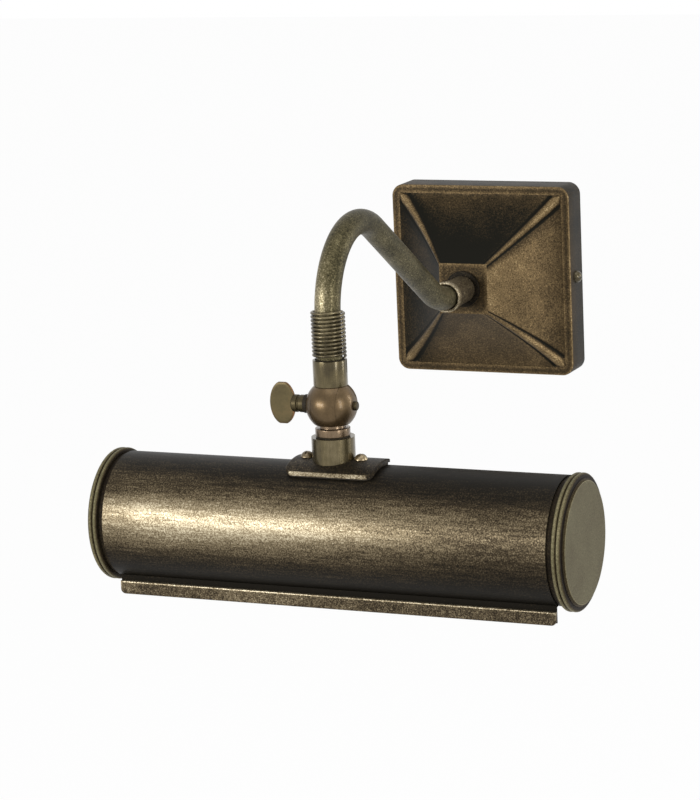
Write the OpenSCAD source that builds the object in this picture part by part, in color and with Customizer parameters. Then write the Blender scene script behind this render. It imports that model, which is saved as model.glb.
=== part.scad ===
// Picture light: square swept wall plate, swan-neck arm, tilting ball knuckle
// and a two-lamp cylindrical shade.
// Frame: origin at the centre of the wall plate on the wall, +Z up, the wall is y = 0
// and the arm reaches out along -Y.

/* [Wall plate] */
// Width of the cover
plate_w = 104; // [94:1:126]
// Height of the cover
plate_h = 105; // [94:1:126]
// Depth of the cover's side walls
plate_side_depth = 19.5; // [17:0.5:26]
// Distance from the wall to the flat at the peak
plate_peak_depth = 48.3; // [40:0.1:60]
// Width of the flat square at the peak
peak_w = 27.6; // [25:0.1:32]
// Radius of the cover's upright corners
plate_corner_r = 6.5; // [3:0.5:8]
// Width of the raised band round the front
band_w = 4.6; // [3:0.1:7]
// Sheet thickness of the cover
cover_wall = 1.2; // [0.8:0.1:1.6]
// Bend of the swept faces, where 1 is flat
sweep_power = 1.35; // [1:0.05:1.7]
// Height of the ridge along each diagonal
ridge_rise = 0.9; // [0.4:0.1:1.5]
// Half width of a ridge at the corner of the plate
ridge_half_w = 2.5; // [1.5:0.1:4]
// Height of the side screws above the plate's centre
side_screw_z = 1.5; // [-8:0.5:8]
// Distance of the side screws from the wall
side_screw_depth = 10; // [8:0.5:12]

/* [Wall bracket] */
// Height of the bracket strap
bracket_h = 40; // [34:1:60]
// Thickness of the bracket strap
bracket_t = 1.5; // [1:0.1:2.5]
// Distance between the two wall screw holes
wall_hole_spacing = 70; // [66:1:80]
// Radius of a wall screw hole
wall_hole_r = 2.5; // [2:0.1:3]
// Radius of the cable entry hole in the bracket
entry_hole_r = 8; // [6:0.5:9]

/* [Collar and arm] */
// Radius of the collar where it meets its washer
collar_base_r = 7.35; // [7.2:0.05:9]
// Radius of the collar's flared mouth
collar_mouth_r = 8.35; // [8.2:0.05:11]
// Length of the collar outside its washer
collar_l = 25.6; // [20:0.1:30]
// Radius of the washer under the collar
collar_washer_r = 9.9; // [8.5:0.1:12.5]
// Radius of the arm tube
arm_r = 6.5; // [5.5:0.05:6.8]
// Wall of the arm tube
arm_wall = 1; // [0.7:0.1:1.5]
// Distance from the wall to the knuckle and to the shade's axis
head_reach = 231.5; // [210:0.5:290]
// Radius of the arm's lower bend, on its centre line
arm_low_r = 38; // [34:1:60]
// Radius of the arm's top bend, on its centre line
arm_top_r = 40; // [32:0.5:46]
// Height of the arm's centre line at its top
arm_top_z = 59.2; // [50:0.1:75]

/* [Spring and swivel] */
// Outer radius of the coil spring
spring_r = 8.6; // [8.4:0.1:9.5]
// Wire diameter of the coil spring
spring_wire = 1.5; // [1:0.1:1.6]
// Number of turns in the coil spring
spring_turns = 12; // [6:1:14]
// Height of the coil spring
spring_h = 24.5; // [16:0.5:26]
// Outer radius of the swivel bush
bush_r = 7.2; // [7.1:0.05:7.4]
// Outer radius of the sleeve above the ball
sleeve_r = 8.55; // [8.2:0.05:10]

/* [Knuckle] */
// Radius of the ball
ball_r = 12.95; // [12.5:0.05:14.5]
// Drop from the plate's centre to the ball's centre
ball_drop = 25.6; // [25:0.1:27]
// Width of the tongue between the ears
tongue_w = 13; // [11:0.1:14]
// Radius of the ring under the ball
ring_r = 8.75; // [8:0.05:10]
// Radius of the collar that stands on the saddle
stem_collar_r = 10.85; // [9:0.05:12]
// Radius of the threaded stem
stem_r = 5; // [4.5:0.1:5.5]
// Radius of the thumb screw's shank
thumb_shank_r = 2.5; // [2:0.1:3]
// Width of the thumb screw's wing, along its axis
wing_w = 13; // [10:0.5:16]
// Height of the thumb screw's wing
wing_h = 21; // [16:0.5:24]
// Thickness of the thumb screw's wing
wing_t = 2; // [1.5:0.1:3]

/* [Shade] */
// Overall length of the shade
shade_l = 255; // [230:1:310]
// Outer radius of the shade's barrel
shade_r = 32.3; // [30:0.1:40]
// Sheet thickness of the barrel
shade_wall = 0.9; // [0.7:0.1:1.2]
// Drop from the plate's centre to the shade's axis
shade_drop = 87.8; // [87:0.1:100]
// Sideways offset of the shade's middle from the knuckle
shade_offset_x = 3.1; // [0:0.1:6]
// Angle at which the mouth starts, at its front edge
mouth_front_angle = 240; // [235:1:250]
// Angle at which the mouth ends, at its back edge
mouth_back_angle = 340; // [325:1:345]
// Length of the lip strip along the front edge
lip_l = 235; // [200:1:300]
// Height of the lip strip
lip_h = 6.7; // [5:0.1:9]
// Thickness of the lip strip
lip_t = 1.8; // [1:0.1:2.5]
// Length of the saddle plate along the shade
saddle_l = 48; // [44:1:60]
// Width of the saddle plate across the shade
saddle_w = 27.5; // [26:0.5:34]
// Distance from the shade's axis to the saddle plate's front edge
saddle_front = 16.5; // [15:0.1:20]
// Thickness of the saddle plate
saddle_t = 1.7; // [1:0.1:2.5]
// Thickness of the pad under the saddle plate
pad_t = 1.3; // [0.8:0.1:2]
// Distance of each saddle screw from the knuckle's axis
saddle_screw_x = 14.5; // [14:0.1:17]

/* [Lamps] */
// Radius of a lamp's glass tube
lamp_r = 12.5; // [10:0.1:13]
// Overall length of a lamp
lamp_l = 85; // [70:1:90]
// Radius of a lampholder's body
holder_r = 11.5; // [10.5:0.1:12.5]
// Length of a lampholder
holder_l = 32; // [30:1:36]

/* [Hidden] */
$fn = 64;

// Clearances: sliding fit, seat between fixed pieces, hole round a screw
fit_gap = 0.03;
seat_gap = 0.05;
screw_gap = 0.2;
// Overshoot of a cutting tool past the face that it cuts
over = 1;

// Wall plate
half_w = plate_w / 2;
half_h = plate_h / 2;
field_w = half_w - band_w;
field_h = half_h - band_w;
groove_w = 0.7;
groove_depth = 0.8;
ring_count = 14;
side_screw_r = 2;
side_head_r = 3.5;
side_head_h = 3.2;
side_screw_l = 8;

// Wall bracket and what it carries
ear_x = half_w - cover_wall - 0.1;
ear_depth = 15;
ear_h = 14;
grommet_t = 4;
grommet_bore_r = entry_hole_r - 3;
block_x = -28;
block_w = 20;
block_h = 24;
block_depth = 13;
block_ways = 3;
block_pitch = 7.5;
earth_x = 22;
earth_r = 2;

// Collar: its spigot goes through the peak of the cover to a nut inside
spigot_r = 5.6;
spigot_bore_r = 3.6;
washer_t = 1.6;
lock_washer_t = 1;
locknut_t = 4;
locknut_af = 15;
spigot_end_y = plate_peak_depth - cover_wall - lock_washer_t - locknut_t - 1;
collar_seat_y = plate_peak_depth + washer_t;
collar_mouth_y = collar_seat_y + collar_l;
arm_in_y = collar_mouth_y - 16;
mouth_lip = 1.6;
mouth_gap = 0.7;

// Arm: two bends and the straight that touches both, in the plane x = 0. The lower bend
// starts inside the wider mouth of the collar.
arm_bend_y = collar_mouth_y - 1.5;
arm_end_z = -8.6;
low_centre = [-arm_bend_y, arm_low_r];
top_centre = [arm_top_r - head_reach, arm_top_z - arm_top_r];
centre_span = low_centre - top_centre;
arm_rise = asin((arm_low_r + arm_top_r) / norm(centre_span))
    - atan2(centre_span.y, centre_span.x);
bend_run = 2;
bend_relief = 0.02;
bend_sides = 24;
low_steps = 9;
top_steps = 20;
arm_lead_r = 2.5;

// Swivel: the bush is screwed into the sleeve and hangs on the arm's end ferrule
bush_top_z = -2.2;
bush_bottom_z = -6.5;
ferrule_r = bush_r - 0.1;
ferrule_top_z = bush_bottom_z - 0.1;
sleeve_top_z = -2.5;
sleeve_bottom_z = -18;
sleeve_cavity_z = -9;
lead_hole_r = 3;

// Spring
spring_mid_r = spring_r - spring_wire / 2;
spring_start_z = bush_top_z + 0.3 + spring_wire / 2;
spring_pitch = (spring_h - spring_wire) / spring_turns;
spring_steps = 16;
spring_sides = 6;

// Knuckle
slot_gap = 0.1;
ball_z = -ball_drop;
ear_cut = 9.4;
neck_r = tongue_w / 2 - 0.1;
ring_top = ball_r * 0.873;
ring_t = 3.9;
ring_bottom_z = ball_z - ring_top - ring_t;
ring_washer_t = 0.6;
boss_r = 4.4;
thumb_washer_t = 1.8;
boss_l = 6.6;
thumb_seat_x = sqrt(ball_r * ball_r - boss_r * boss_r);
thumb_tip = 2.45;
wing_x = thumb_seat_x + thumb_washer_t + boss_l;

// Shade and saddle
shade_z = -shade_drop;
pad_r = shade_r + pad_t;
saddle_r = pad_r + saddle_t;
shade_in_r = shade_r - shade_wall;
shade_half = shade_l / 2;
barrel_half = shade_half - 9.2;
bead_start = shade_half - 6.5;
cap_step = shade_half - 1.5;
cap_disc_r = shade_r - 2.05;
cap_ring_r = shade_r + 0.7;
cap_bead_r = 1.15;
cap_wall = 1;
spigot_l = 6;
front_y = shade_r * cos(mouth_front_angle);
front_z = shade_r * sin(mouth_front_angle);
flange_y = front_y + 0.05;
flange_root = 0.6;
lip_drop = 3;
lip_corner_r = 2.5;
saddle_corner_r = 5;
saddle_screw_r = 1.5;
saddle_head_r = 3.4;
saddle_head_h = 2.8;
nut_drop = 0.25;
saddle_nut_t = 2.4;
saddle_nut_af = 5.5;
stem_washer_r = 10;
stem_washer_z = -(shade_in_r - 3.2);
stem_nut_t = 3.5;
stem_nut_af = 14;
stem_end_z = shade_z - stem_washer_z - stem_nut_t - 1.5;
stem_bore_r = 2.6;

// Lampholders: base against a bracket on the inside of each end cap
bracket_x = cap_step - cap_wall;
holder_bracket_t = 1.5;
holder_bracket_w = 36;
holder_bracket_h = 12;
holder_base_x = bracket_x - holder_bracket_t;
holder_mouth_x = holder_base_x - holder_l;
holder_flange_r = 16.5;
holder_flange_t = 2;
holder_screw_at = 14;
holder_screw_r = 1.25;
socket_r = 7.2;
socket_depth = 26;
socket_end_x = holder_mouth_x + socket_depth;
contact_t = 1;
thread_sleeve_t = 0.3;
lamp_cap_r = 6.6;
lamp_neck_r = 6.2;
lamp_tip_x = socket_end_x - contact_t - 0.1;
lamp_tip_l = 1.8;
lamp_cone_l = 2;
lamp_cap_l = 20;
lamp_neck_l = 9;
lamp_shoulder_l = 10;
glass_t = 0.8;
lamp_cap_x = lamp_tip_x - lamp_cap_l;
lamp_neck_x = lamp_cap_x - lamp_neck_l;
lamp_tube_x = lamp_neck_x - lamp_shoulder_l;
lamp_end_x = lamp_tip_x - lamp_l;
filament_r = 0.6;

// Leads inside the shade
head_lead_r = 1.1;
head_lead_z = shade_in_r - 11;

/* Helpers */

// Vector of length one
function unit(v) = v / norm(v);

// Direction of a path at point i
function heading(path, i) =
    unit(path[min(i + 1, len(path) - 1)] - path[max(i - 1, 0)]);

// Middle of a ring of points
function middle(ring) = [for (p = ring) 1] * ring / len(ring);

// Ring of n points round c, square to direction t
function ring_points(c, t, side, r, n) =
    let (a = unit(cross(t, side)), b = cross(t, a))
    [for (k = [0 : n - 1]) c + r * (cos(360 * k / n) * a - sin(360 * k / n) * b)];

// Closed solid through rings that hold the same number of points
module loft(rings) {
    n = len(rings[0]);
    last = (len(rings) - 1) * n;
    near_side = [for (j = [0 : n : last - n], k = [0 : n - 1])
        [j + k, j + (k + 1) % n, j + n + k]];
    far_side = [for (j = [0 : n : last - n], k = [0 : n - 1])
        [j + (k + 1) % n, j + n + (k + 1) % n, j + n + k]];
    start_end = [for (k = [0 : n - 1]) [last + n, (k + 1) % n, k]];
    far_end = [for (k = [0 : n - 1]) [last + n + 1, last + k, last + (k + 1) % n]];
    polyhedron(concat([for (ring = rings) each ring],
            [middle(rings[0]), middle(rings[len(rings) - 1])]),
        concat(near_side, far_side, start_end, far_end), convexity = 10);
}

// Round rod along a path
module rod(path, r, n, side) {
    loft([for (i = [0 : len(path) - 1]) ring_points(path[i], heading(path, i), side, r, n)]);
}

// Rectangle with round corners, centred
module round_rect(w, h, r) {
    square([w - 2 * r, h], center = true);
    square([w, h - 2 * r], center = true);
    for (x = [-1, 1], y = [-1, 1])
        translate([x * (w / 2 - r), y * (h / 2 - r)]) circle(r);
}

// Places children so that their +Z points out from the wall
module from_wall(depth = 0) translate([0, -depth, 0]) rotate([90, 0, 0]) children();

// Places children so that their +Z points along +X
module along_x(x = 0) translate([x, 0, 0]) rotate([0, 90, 0]) children();

// Places children at the top of the knuckle, on its upright axis
module at_knuckle(z = 0) translate([0, -head_reach, z]) children();

// Places children at the middle of the shade
module at_shade() translate([shade_offset_x, -head_reach, shade_z]) children();

// Draws children for the right end, or mirrored for the left end
module at_end(side) at_shade() mirror([side < 0 ? 1 : 0, 0, 0]) children();

// Hexagonal nut with a round bore
module nut(af, t, bore_r) difference() {
    cylinder(r = af / sqrt(3), h = t, $fn = 6);
    translate([0, 0, -over]) cylinder(r = bore_r, h = t + 2 * over);
}

// Flat washer
module washer(r, t, bore_r) difference() {
    cylinder(r = r, h = t);
    translate([0, 0, -over]) cylinder(r = bore_r, h = t + 2 * over);
}

// Domed screw head: the cap of a sphere, with a screwdriver slot
module dome_head(r, h, slot) {
    sphere_r = (r * r + h * h) / (2 * h);
    difference() {
        intersection() {
            translate([0, 0, h - sphere_r]) sphere(sphere_r);
            cylinder(r = r, h = h);
        }
        translate([-slot / 2, -r - over, h - 1]) cube([slot, 2 * (r + over), 1 + over]);
    }
}

/* Wall plate */

// Share of the way from the band to the peak, closer together near both ends
function sweep_share(i) = (1 - cos(180 * i / ring_count)) / 2;

// Height of the ridge at a share of the way: blunt at the corner, thin at the peak
function ridge_at(s) = ridge_rise * min(1, s * 25) * (1 - 0.75 * s) * (s >= 1 ? 0 : 1);

// One ring of the swept faces, as points [x, height, z] round the peak
function sweep_ring(s, shrink, drop, ridge) =
    let (w = field_w + (peak_w / 2 - field_w) * s - shrink,
         h = field_h + (peak_w / 2 - field_h) * s - shrink,
         depth = plate_side_depth + (plate_peak_depth - plate_side_depth) * pow(s, sweep_power)
             - drop,
         rise = ridge * ridge_at(s),
         k = ridge_half_w * (1 - 0.7 * s),
         offsets = [0, k * 0.5, k, k * 1.4],
         lifts = [rise, rise * 0.8, 0, 0])
    [for (q = [0 : 3])
        let (u = q % 2 == 0 ? w : h, v = q % 2 == 0 ? h : w)
        for (p = [for (i = [0 : 3]) [u - offsets[i], lifts[i]],
                  for (i = [3 : -1 : 1]) [offsets[i] - u, lifts[i]]])
            let (x = p.x, z = v, turned = q == 0 ? [x, z] : q == 1 ? [-z, x]
                     : q == 2 ? [-x, -z] : [z, -x])
            [turned.x, -depth - p.y, turned.y]];

// Solid under the swept faces, down to a base behind the front of the side walls
module swept_solid(shrink, drop, base_depth, ridge) {
    base = [for (p = sweep_ring(0, shrink, drop, 0)) [p.x, -base_depth, p.z]];
    loft(concat([for (i = [ring_count : -1 : 0])
        sweep_ring(sweep_share(i), shrink, drop, ridge)], [base]));
}

module wall_bracket() {
    color("silver") difference() {
        union() {
            translate([-ear_x, -bracket_t, -bracket_h / 2])
                cube([2 * ear_x, bracket_t, bracket_h]);
            for (side = [-1, 1])
                translate([side > 0 ? ear_x - bracket_t : -ear_x, -ear_depth,
                        side_screw_z - ear_h / 2])
                    cube([bracket_t, ear_depth, ear_h]);
        }
        for (side = [-1, 1])
            translate([side * wall_hole_spacing / 2, 0, 0]) from_wall(-over)
                cylinder(r = wall_hole_r, h = bracket_t + 2 * over);
        from_wall(-over) cylinder(r = entry_hole_r, h = bracket_t + 2 * over);
        translate([earth_x, 0, 0]) from_wall(-over)
            cylinder(r = earth_r + fit_gap, h = bracket_t + 2 * over);
        translate([0, -side_screw_depth, side_screw_z]) along_x(-half_w)
            cylinder(r = side_screw_r + fit_gap, h = plate_w);
    }
}

module cable_grommet() {
    color("dimgray") from_wall(0.2) difference() {
        union() {
            cylinder(r = entry_hole_r - seat_gap, h = grommet_t);
            translate([0, 0, bracket_t - 0.2 + seat_gap])
                cylinder(r = entry_hole_r + 1.5, h = grommet_t - bracket_t);
        }
        translate([0, 0, -over]) cylinder(r = grommet_bore_r, h = grommet_t + 3 * over);
    }
}

module backplate_cover() {
    color("darkgoldenrod") difference() {
        union() {
            from_wall() linear_extrude(plate_side_depth)
                round_rect(plate_w, plate_h, plate_corner_r);
            swept_solid(0, 0, plate_side_depth - 0.5, 1);
        }
        from_wall(plate_side_depth - groove_depth)
            linear_extrude(groove_depth + over) difference() {
                square([2 * (field_w + groove_w), 2 * (field_h + groove_w)], center = true);
                square([2 * field_w, 2 * field_h], center = true);
            }
        from_wall(-over) linear_extrude(plate_side_depth - groove_depth - cover_wall + over)
            round_rect(plate_w - 2 * cover_wall, plate_h - 2 * cover_wall,
                plate_corner_r - cover_wall);
        swept_solid(cover_wall, cover_wall, plate_side_depth - 3, 0);
        from_wall(plate_side_depth) cylinder(r = spigot_r + 0.15, h = plate_peak_depth);
        translate([0, -side_screw_depth, side_screw_z]) along_x(-half_w - over)
            cylinder(r = side_screw_r + screw_gap, h = plate_w + 2 * over);
    }
}

module cover_side_screws() {
    color("peru") for (side = [-1, 1])
        translate([side * half_w, -side_screw_depth, side_screw_z])
            mirror([side < 0 ? 1 : 0, 0, 0]) {
                along_x() dome_head(side_head_r, side_head_h, 0.9);
                along_x(-side_screw_l) cylinder(r = side_screw_r, h = side_screw_l + 0.5);
            }
}

module terminal_block() {
    color("white") difference() {
        translate([block_x - block_w / 2, -bracket_t - block_depth, -block_h / 2])
            cube([block_w, block_depth, block_h]);
        for (i = [0 : block_ways - 1])
            translate([block_x, 0, (i - (block_ways - 1) / 2) * block_pitch])
                from_wall(bracket_t + block_depth - 5) cylinder(r = 2.1, h = 5 + over);
    }
}

module terminal_screws() {
    color("khaki") for (i = [0 : block_ways - 1])
        translate([block_x, 0, (i - (block_ways - 1) / 2) * block_pitch])
            from_wall(bracket_t + block_depth - 5) {
                difference() {
                    cylinder(r = 2, h = 4);
                    translate([-3, -0.4, 3]) cube([6, 0.8, 2]);
                }
            }
}

module earth_screw() {
    color("limegreen") translate([earth_x, 0, 0]) {
        from_wall(bracket_t) dome_head(4, 2.6, 1);
        from_wall(0.2) cylinder(r = earth_r, h = bracket_t + 0.3);
    }
}

/* Collar and arm */

module collar_washer() {
    color("tan") from_wall(plate_peak_depth)
        washer(collar_washer_r, washer_t, spigot_r + 0.1);
}

module arm_collar() {
    color("tan") from_wall(spigot_end_y) difference() {
        rotate_extrude() polygon([
            [spigot_bore_r, 0],
            [spigot_r, 0],
            [spigot_r, collar_seat_y - spigot_end_y],
            [collar_base_r, collar_seat_y - spigot_end_y],
            [collar_base_r, collar_seat_y - spigot_end_y + 6],
            [collar_mouth_r - 0.35, collar_mouth_y - spigot_end_y - 5],
            [collar_mouth_r, collar_mouth_y - spigot_end_y - 3.5],
            [collar_mouth_r, collar_mouth_y - spigot_end_y - 0.5],
            [collar_mouth_r - 0.5, collar_mouth_y - spigot_end_y],
            [spigot_bore_r, collar_mouth_y - spigot_end_y]]);
        translate([0, 0, arm_in_y - spigot_end_y])
            cylinder(r = arm_r + fit_gap, h = collar_mouth_y);
        translate([0, 0, collar_mouth_y - mouth_lip - spigot_end_y])
            cylinder(r = arm_r + mouth_gap, h = mouth_lip + over);
    }
}

module collar_lock_washer() {
    color("silver") from_wall(plate_peak_depth - cover_wall - lock_washer_t)
        washer(locknut_af / 2 + 0.5, lock_washer_t, spigot_r + 0.1);
}

module collar_locknut() {
    color("silver") from_wall(plate_peak_depth - cover_wall - lock_washer_t - locknut_t)
        nut(locknut_af, locknut_t, spigot_r + fit_gap);
}

// Point of the lower bend, and of the top bend, where the arm points up by angle a
function low_bend(a) = low_centre + arm_low_r * [-sin(a), -cos(a)];
function top_bend(a) = top_centre + arm_top_r * [sin(a), cos(a)];

// Centre line of both bends, with a short run into the straight at each end
function bend_path() = concat(
    [[0, -arm_bend_y + bend_run, 0]],
    [for (i = [0 : low_steps])
        let (p = low_bend(arm_rise * i / low_steps)) [0, p.x, p.y]],
    [for (i = [0 : top_steps])
        let (p = top_bend(arm_rise - (90 + arm_rise) * i / top_steps)) [0, p.x, p.y]],
    [[0, -head_reach, top_centre.y - bend_run]]);

// Solid rod of radius r along the arm's centre line, from depth start_y to height end_z:
// true cylinders at both ends, where the arm fits its collar and its swivel
module arm_rod(r, start_y, end_z) {
    from_wall(start_y) cylinder(r = r, h = arm_bend_y - start_y);
    rod(bend_path(), r - bend_relief, bend_sides, [1, 0, 0]);
    at_knuckle(end_z) cylinder(r = r, h = top_centre.y - end_z);
}

module arm_tube() {
    color("darkolivegreen") difference() {
        arm_rod(arm_r, arm_in_y, arm_end_z);
        arm_rod(arm_r - arm_wall, arm_in_y - over, arm_end_z - over);
    }
}

module arm_end_ferrule() {
    color("olive") at_knuckle(arm_end_z + 0.1)
        washer(ferrule_r, ferrule_top_z - arm_end_z - 0.1, arm_r + fit_gap);
}

// Route of the lead: from the terminal block, through the collar and along the arm
function arm_lead_path() = concat(
    [[block_x + block_w / 2, -9, 0], [-14, -9, 0], [-9, -13, 0], [-4, -20, 0],
        [-1, -28, 0], [0, -36, 0], [0, -46, 0], [0, -arm_in_y, 0]],
    [for (a = [0 : 6 : arm_rise]) [0, low_bend(a).x, low_bend(a).y]],
    [for (a = [arm_rise : -arm_rise / 4 : 1]) [0, top_bend(a).x, top_bend(a).y]],
    [for (a = [0 : -9 : -90]) [0, top_bend(a).x, top_bend(a).y]],
    [[0, -head_reach, arm_end_z / 2], [0, -head_reach, arm_end_z + 1]]);

module arm_lead() {
    color("gainsboro") rod(arm_lead_path(), arm_lead_r, 8, [1, 0, 1]);
}

/* Spring and swivel */

function spring_path() = [for (i = [0 : spring_turns * spring_steps])
    let (a = 360 * i / spring_steps)
    [spring_mid_r * cos(a), spring_mid_r * sin(a), spring_start_z + spring_pitch * a / 360]];

module coil_spring() {
    color("olive") at_knuckle() rod(spring_path(), spring_wire / 2, spring_sides, [0, 0, 1]);
}

module swivel_bush() {
    color("dimgray") at_knuckle(bush_bottom_z)
        washer(bush_r, bush_top_z - bush_bottom_z, arm_r + fit_gap);
}

/* Knuckle */

// Part of a ball between two upright planes
module ball_slice(r, x0, x1, z0) intersection() {
    sphere(r);
    translate([x0, -r - over, z0]) cube([x1 - x0, 2 * (r + over), r + over - z0]);
}

module knuckle_fork() {
    half_slot = tongue_w / 2 + slot_gap;
    color("olive") at_knuckle() difference() {
        union() {
            translate([0, 0, sleeve_bottom_z])
                cylinder(r = sleeve_r, h = sleeve_top_z - sleeve_bottom_z);
            translate([0, 0, ball_z])
                ball_slice(ball_r, -thumb_seat_x, thumb_seat_x, -ear_cut);
        }
        translate([0, 0, ball_z]) along_x(-half_slot)
            cylinder(r = ball_r + 2 * slot_gap, h = 2 * half_slot);
        translate([0, 0, sleeve_cavity_z])
            cylinder(r = bush_r + fit_gap, h = sleeve_top_z - sleeve_cavity_z + over);
        translate([0, 0, ball_z]) cylinder(r = lead_hole_r, h = -ball_z);
        translate([0, 0, ball_z]) along_x(-ball_r - over)
            cylinder(r = thumb_shank_r + fit_gap, h = 2 * (ball_r + over));
    }
}

module thumb_screw() {
    color("goldenrod") at_knuckle(ball_z) {
        along_x(-thumb_seat_x - thumb_washer_t - boss_l) cylinder(r = boss_r, h = boss_l);
        along_x(-thumb_seat_x - thumb_washer_t - 1)
            cylinder(r = thumb_shank_r, h = 2 * thumb_seat_x + thumb_washer_t + 1 + thumb_tip);
        translate([-wing_x - wing_w / 2 + 0.5, wing_t / 2, 0]) rotate([90, 0, 0])
            intersection() {
                cylinder(r = wing_h / 2 + 0.6, h = wing_t);
                translate([-wing_w / 2 - 0.5, -wing_h / 2, -over])
                    cube([wing_w + 1, wing_h, wing_t + 2 * over]);
            }
    }
}

module thumb_washer() {
    color("dimgray") at_knuckle(ball_z) along_x(-thumb_seat_x - thumb_washer_t)
        washer(boss_r + 0.3, thumb_washer_t, thumb_shank_r + fit_gap);
}

module knuckle_tongue() {
    color("olive") at_knuckle() difference() {
        union() {
            translate([0, 0, ball_z])
                ball_slice(ball_r, -tongue_w / 2, tongue_w / 2, -ear_cut);
            translate([0, 0, ball_z - ring_top - 0.5])
                cylinder(r = neck_r, h = ring_top + 0.5 - ear_cut / 2);
            translate([0, 0, ring_bottom_z]) cylinder(r = ring_r, h = ring_t);
            translate([0, 0, stem_end_z])
                cylinder(r = stem_r, h = ring_bottom_z - stem_end_z + 1);
        }
        translate([0, 0, ball_z]) along_x(-tongue_w)
            cylinder(r = thumb_shank_r + fit_gap, h = 2 * tongue_w);
        translate([0, 0, stem_end_z - over])
            cylinder(r = stem_bore_r, h = ball_z - thumb_shank_r - 2 - stem_end_z + over);
    }
}

module ring_washer() {
    color("dimgray") at_knuckle(ring_bottom_z - ring_washer_t)
        washer(ring_r - 0.4, ring_washer_t, stem_r + 0.1);
}

module stem_collar() {
    top_z = ring_bottom_z - ring_washer_t;
    bottom_z = shade_z + saddle_r - 3;
    color("olive") difference() {
        at_knuckle(bottom_z) cylinder(r = stem_collar_r, h = top_z - bottom_z);
        at_shade() along_x(-saddle_l) cylinder(r = saddle_r, h = 2 * saddle_l);
        at_knuckle(bottom_z - over) cylinder(r = stem_r + 0.1, h = top_z - bottom_z + 2 * over);
    }
}

/* Saddle and shade */

// Rolled sheet between two radii, trimmed to the saddle's plan less a margin
module rolled_plate(r_in, r_out, margin) {
    l = saddle_l - 2 * margin;
    w = saddle_w - 2 * margin;
    difference() {
        intersection() {
            at_shade() along_x(-l) cylinder(r = r_out, h = 2 * l);
            at_shade() translate([0, saddle_w / 2 - saddle_front, 0])
                linear_extrude(r_out + over) round_rect(l, w, saddle_corner_r - margin);
        }
        at_shade() along_x(-l) cylinder(r = r_in, h = 2 * l);
        at_knuckle(shade_z) cylinder(r = stem_r + 0.1, h = -shade_z);
        for (side = [-1, 1])
            at_knuckle(shade_z) translate([side * saddle_screw_x, 0, 0])
                cylinder(r = saddle_screw_r + 0.1, h = -shade_z);
    }
}

module saddle_plate() {
    color("goldenrod") rolled_plate(pad_r, saddle_r, 0);
}

module saddle_pad() {
    color("dimgray") rolled_plate(shade_r, pad_r, 1);
}

module saddle_screws() {
    color("goldenrod") for (side = [-1, 1])
        at_knuckle(shade_z) translate([side * saddle_screw_x, 0, 0]) {
            translate([0, 0, saddle_r]) dome_head(saddle_head_r, saddle_head_h, 0.9);
            translate([0, 0, shade_in_r - saddle_nut_t - 1])
                cylinder(r = saddle_screw_r, h = saddle_r - shade_in_r + saddle_nut_t + 1.5);
        }
}

module saddle_nuts() {
    color("silver") for (side = [-1, 1])
        at_knuckle(shade_z) translate([side * saddle_screw_x, 0,
                shade_in_r - nut_drop - saddle_nut_t])
            nut(saddle_nut_af, saddle_nut_t, saddle_screw_r + fit_gap);
}

module stem_washer() {
    color("silver") difference() {
        intersection() {
            at_knuckle(shade_z - stem_washer_z) cylinder(r = stem_washer_r, h = 4);
            at_shade() along_x(-saddle_l) cylinder(r = shade_in_r - seat_gap, h = 2 * saddle_l);
        }
        at_knuckle(shade_z) cylinder(r = stem_r + 0.1, h = -shade_z);
    }
}

module stem_nut() {
    color("silver") at_knuckle(shade_z - stem_washer_z - stem_nut_t)
        nut(stem_nut_af, stem_nut_t, stem_r + fit_gap);
}

module shade_shell() {
    color("saddlebrown") difference() {
        at_shade() {
            rotate([90, 0, 90]) rotate(mouth_back_angle - 360)
                rotate_extrude(angle = mouth_front_angle + 360 - mouth_back_angle)
                    translate([shade_in_r, -barrel_half])
                        square([shade_wall, 2 * barrel_half]);
            translate([-lip_l / 2, flange_y, front_z - lip_drop - lip_h + 1])
                cube([lip_l, shade_wall, lip_drop + lip_h + flange_root - 1]);
        }
        at_knuckle(shade_z) cylinder(r = stem_r + 0.1, h = -shade_z);
        for (side = [-1, 1])
            at_knuckle(shade_z) translate([side * saddle_screw_x, 0, 0])
                cylinder(r = saddle_screw_r + 0.1, h = -shade_z);
    }
}

module shade_lip() {
    color("goldenrod") at_shade()
        translate([0, flange_y, front_z - lip_drop - lip_h / 2]) rotate([90, 0, 0])
            linear_extrude(lip_t) difference() {
                square([lip_l, lip_h], center = true);
                for (side = [-1, 1])
                    translate([side * (lip_l / 2 - lip_corner_r), lip_corner_r - lip_h / 2])
                        difference() {
                            translate([side * over - lip_corner_r, -lip_corner_r - over])
                                square([2 * lip_corner_r, lip_corner_r + over]);
                            circle(lip_corner_r);
                            translate([side < 0 ? 0 : -2 * lip_corner_r, -lip_corner_r - 2 * over])
                                square([2 * lip_corner_r, 2 * lip_corner_r + 3 * over]);
                        }
            }
}

module end_cap(side) {
    color("goldenrod") at_end(side) rotate([90, 0, 90]) rotate_extrude() {
        translate([shade_in_r - cap_wall, barrel_half - spigot_l])
            square([cap_wall - seat_gap, bead_start - barrel_half + spigot_l + 0.5]);
        translate([shade_in_r - cap_wall, bead_start])
            square([cap_ring_r - shade_in_r + cap_wall, cap_step - bead_start]);
        for (x = [1.6, 4]) translate([cap_ring_r - 0.35, bead_start + x - 0.2])
            circle(cap_bead_r, $fn = 32);
        translate([0, cap_step - cap_wall]) square([cap_disc_r + 0.9, cap_wall + 0.5]);
        translate([0, cap_step]) square([cap_disc_r, shade_half - cap_step]);
    }
}

module end_cap_left() end_cap(-1);
module end_cap_right() end_cap(1);

/* Lamps */

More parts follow.
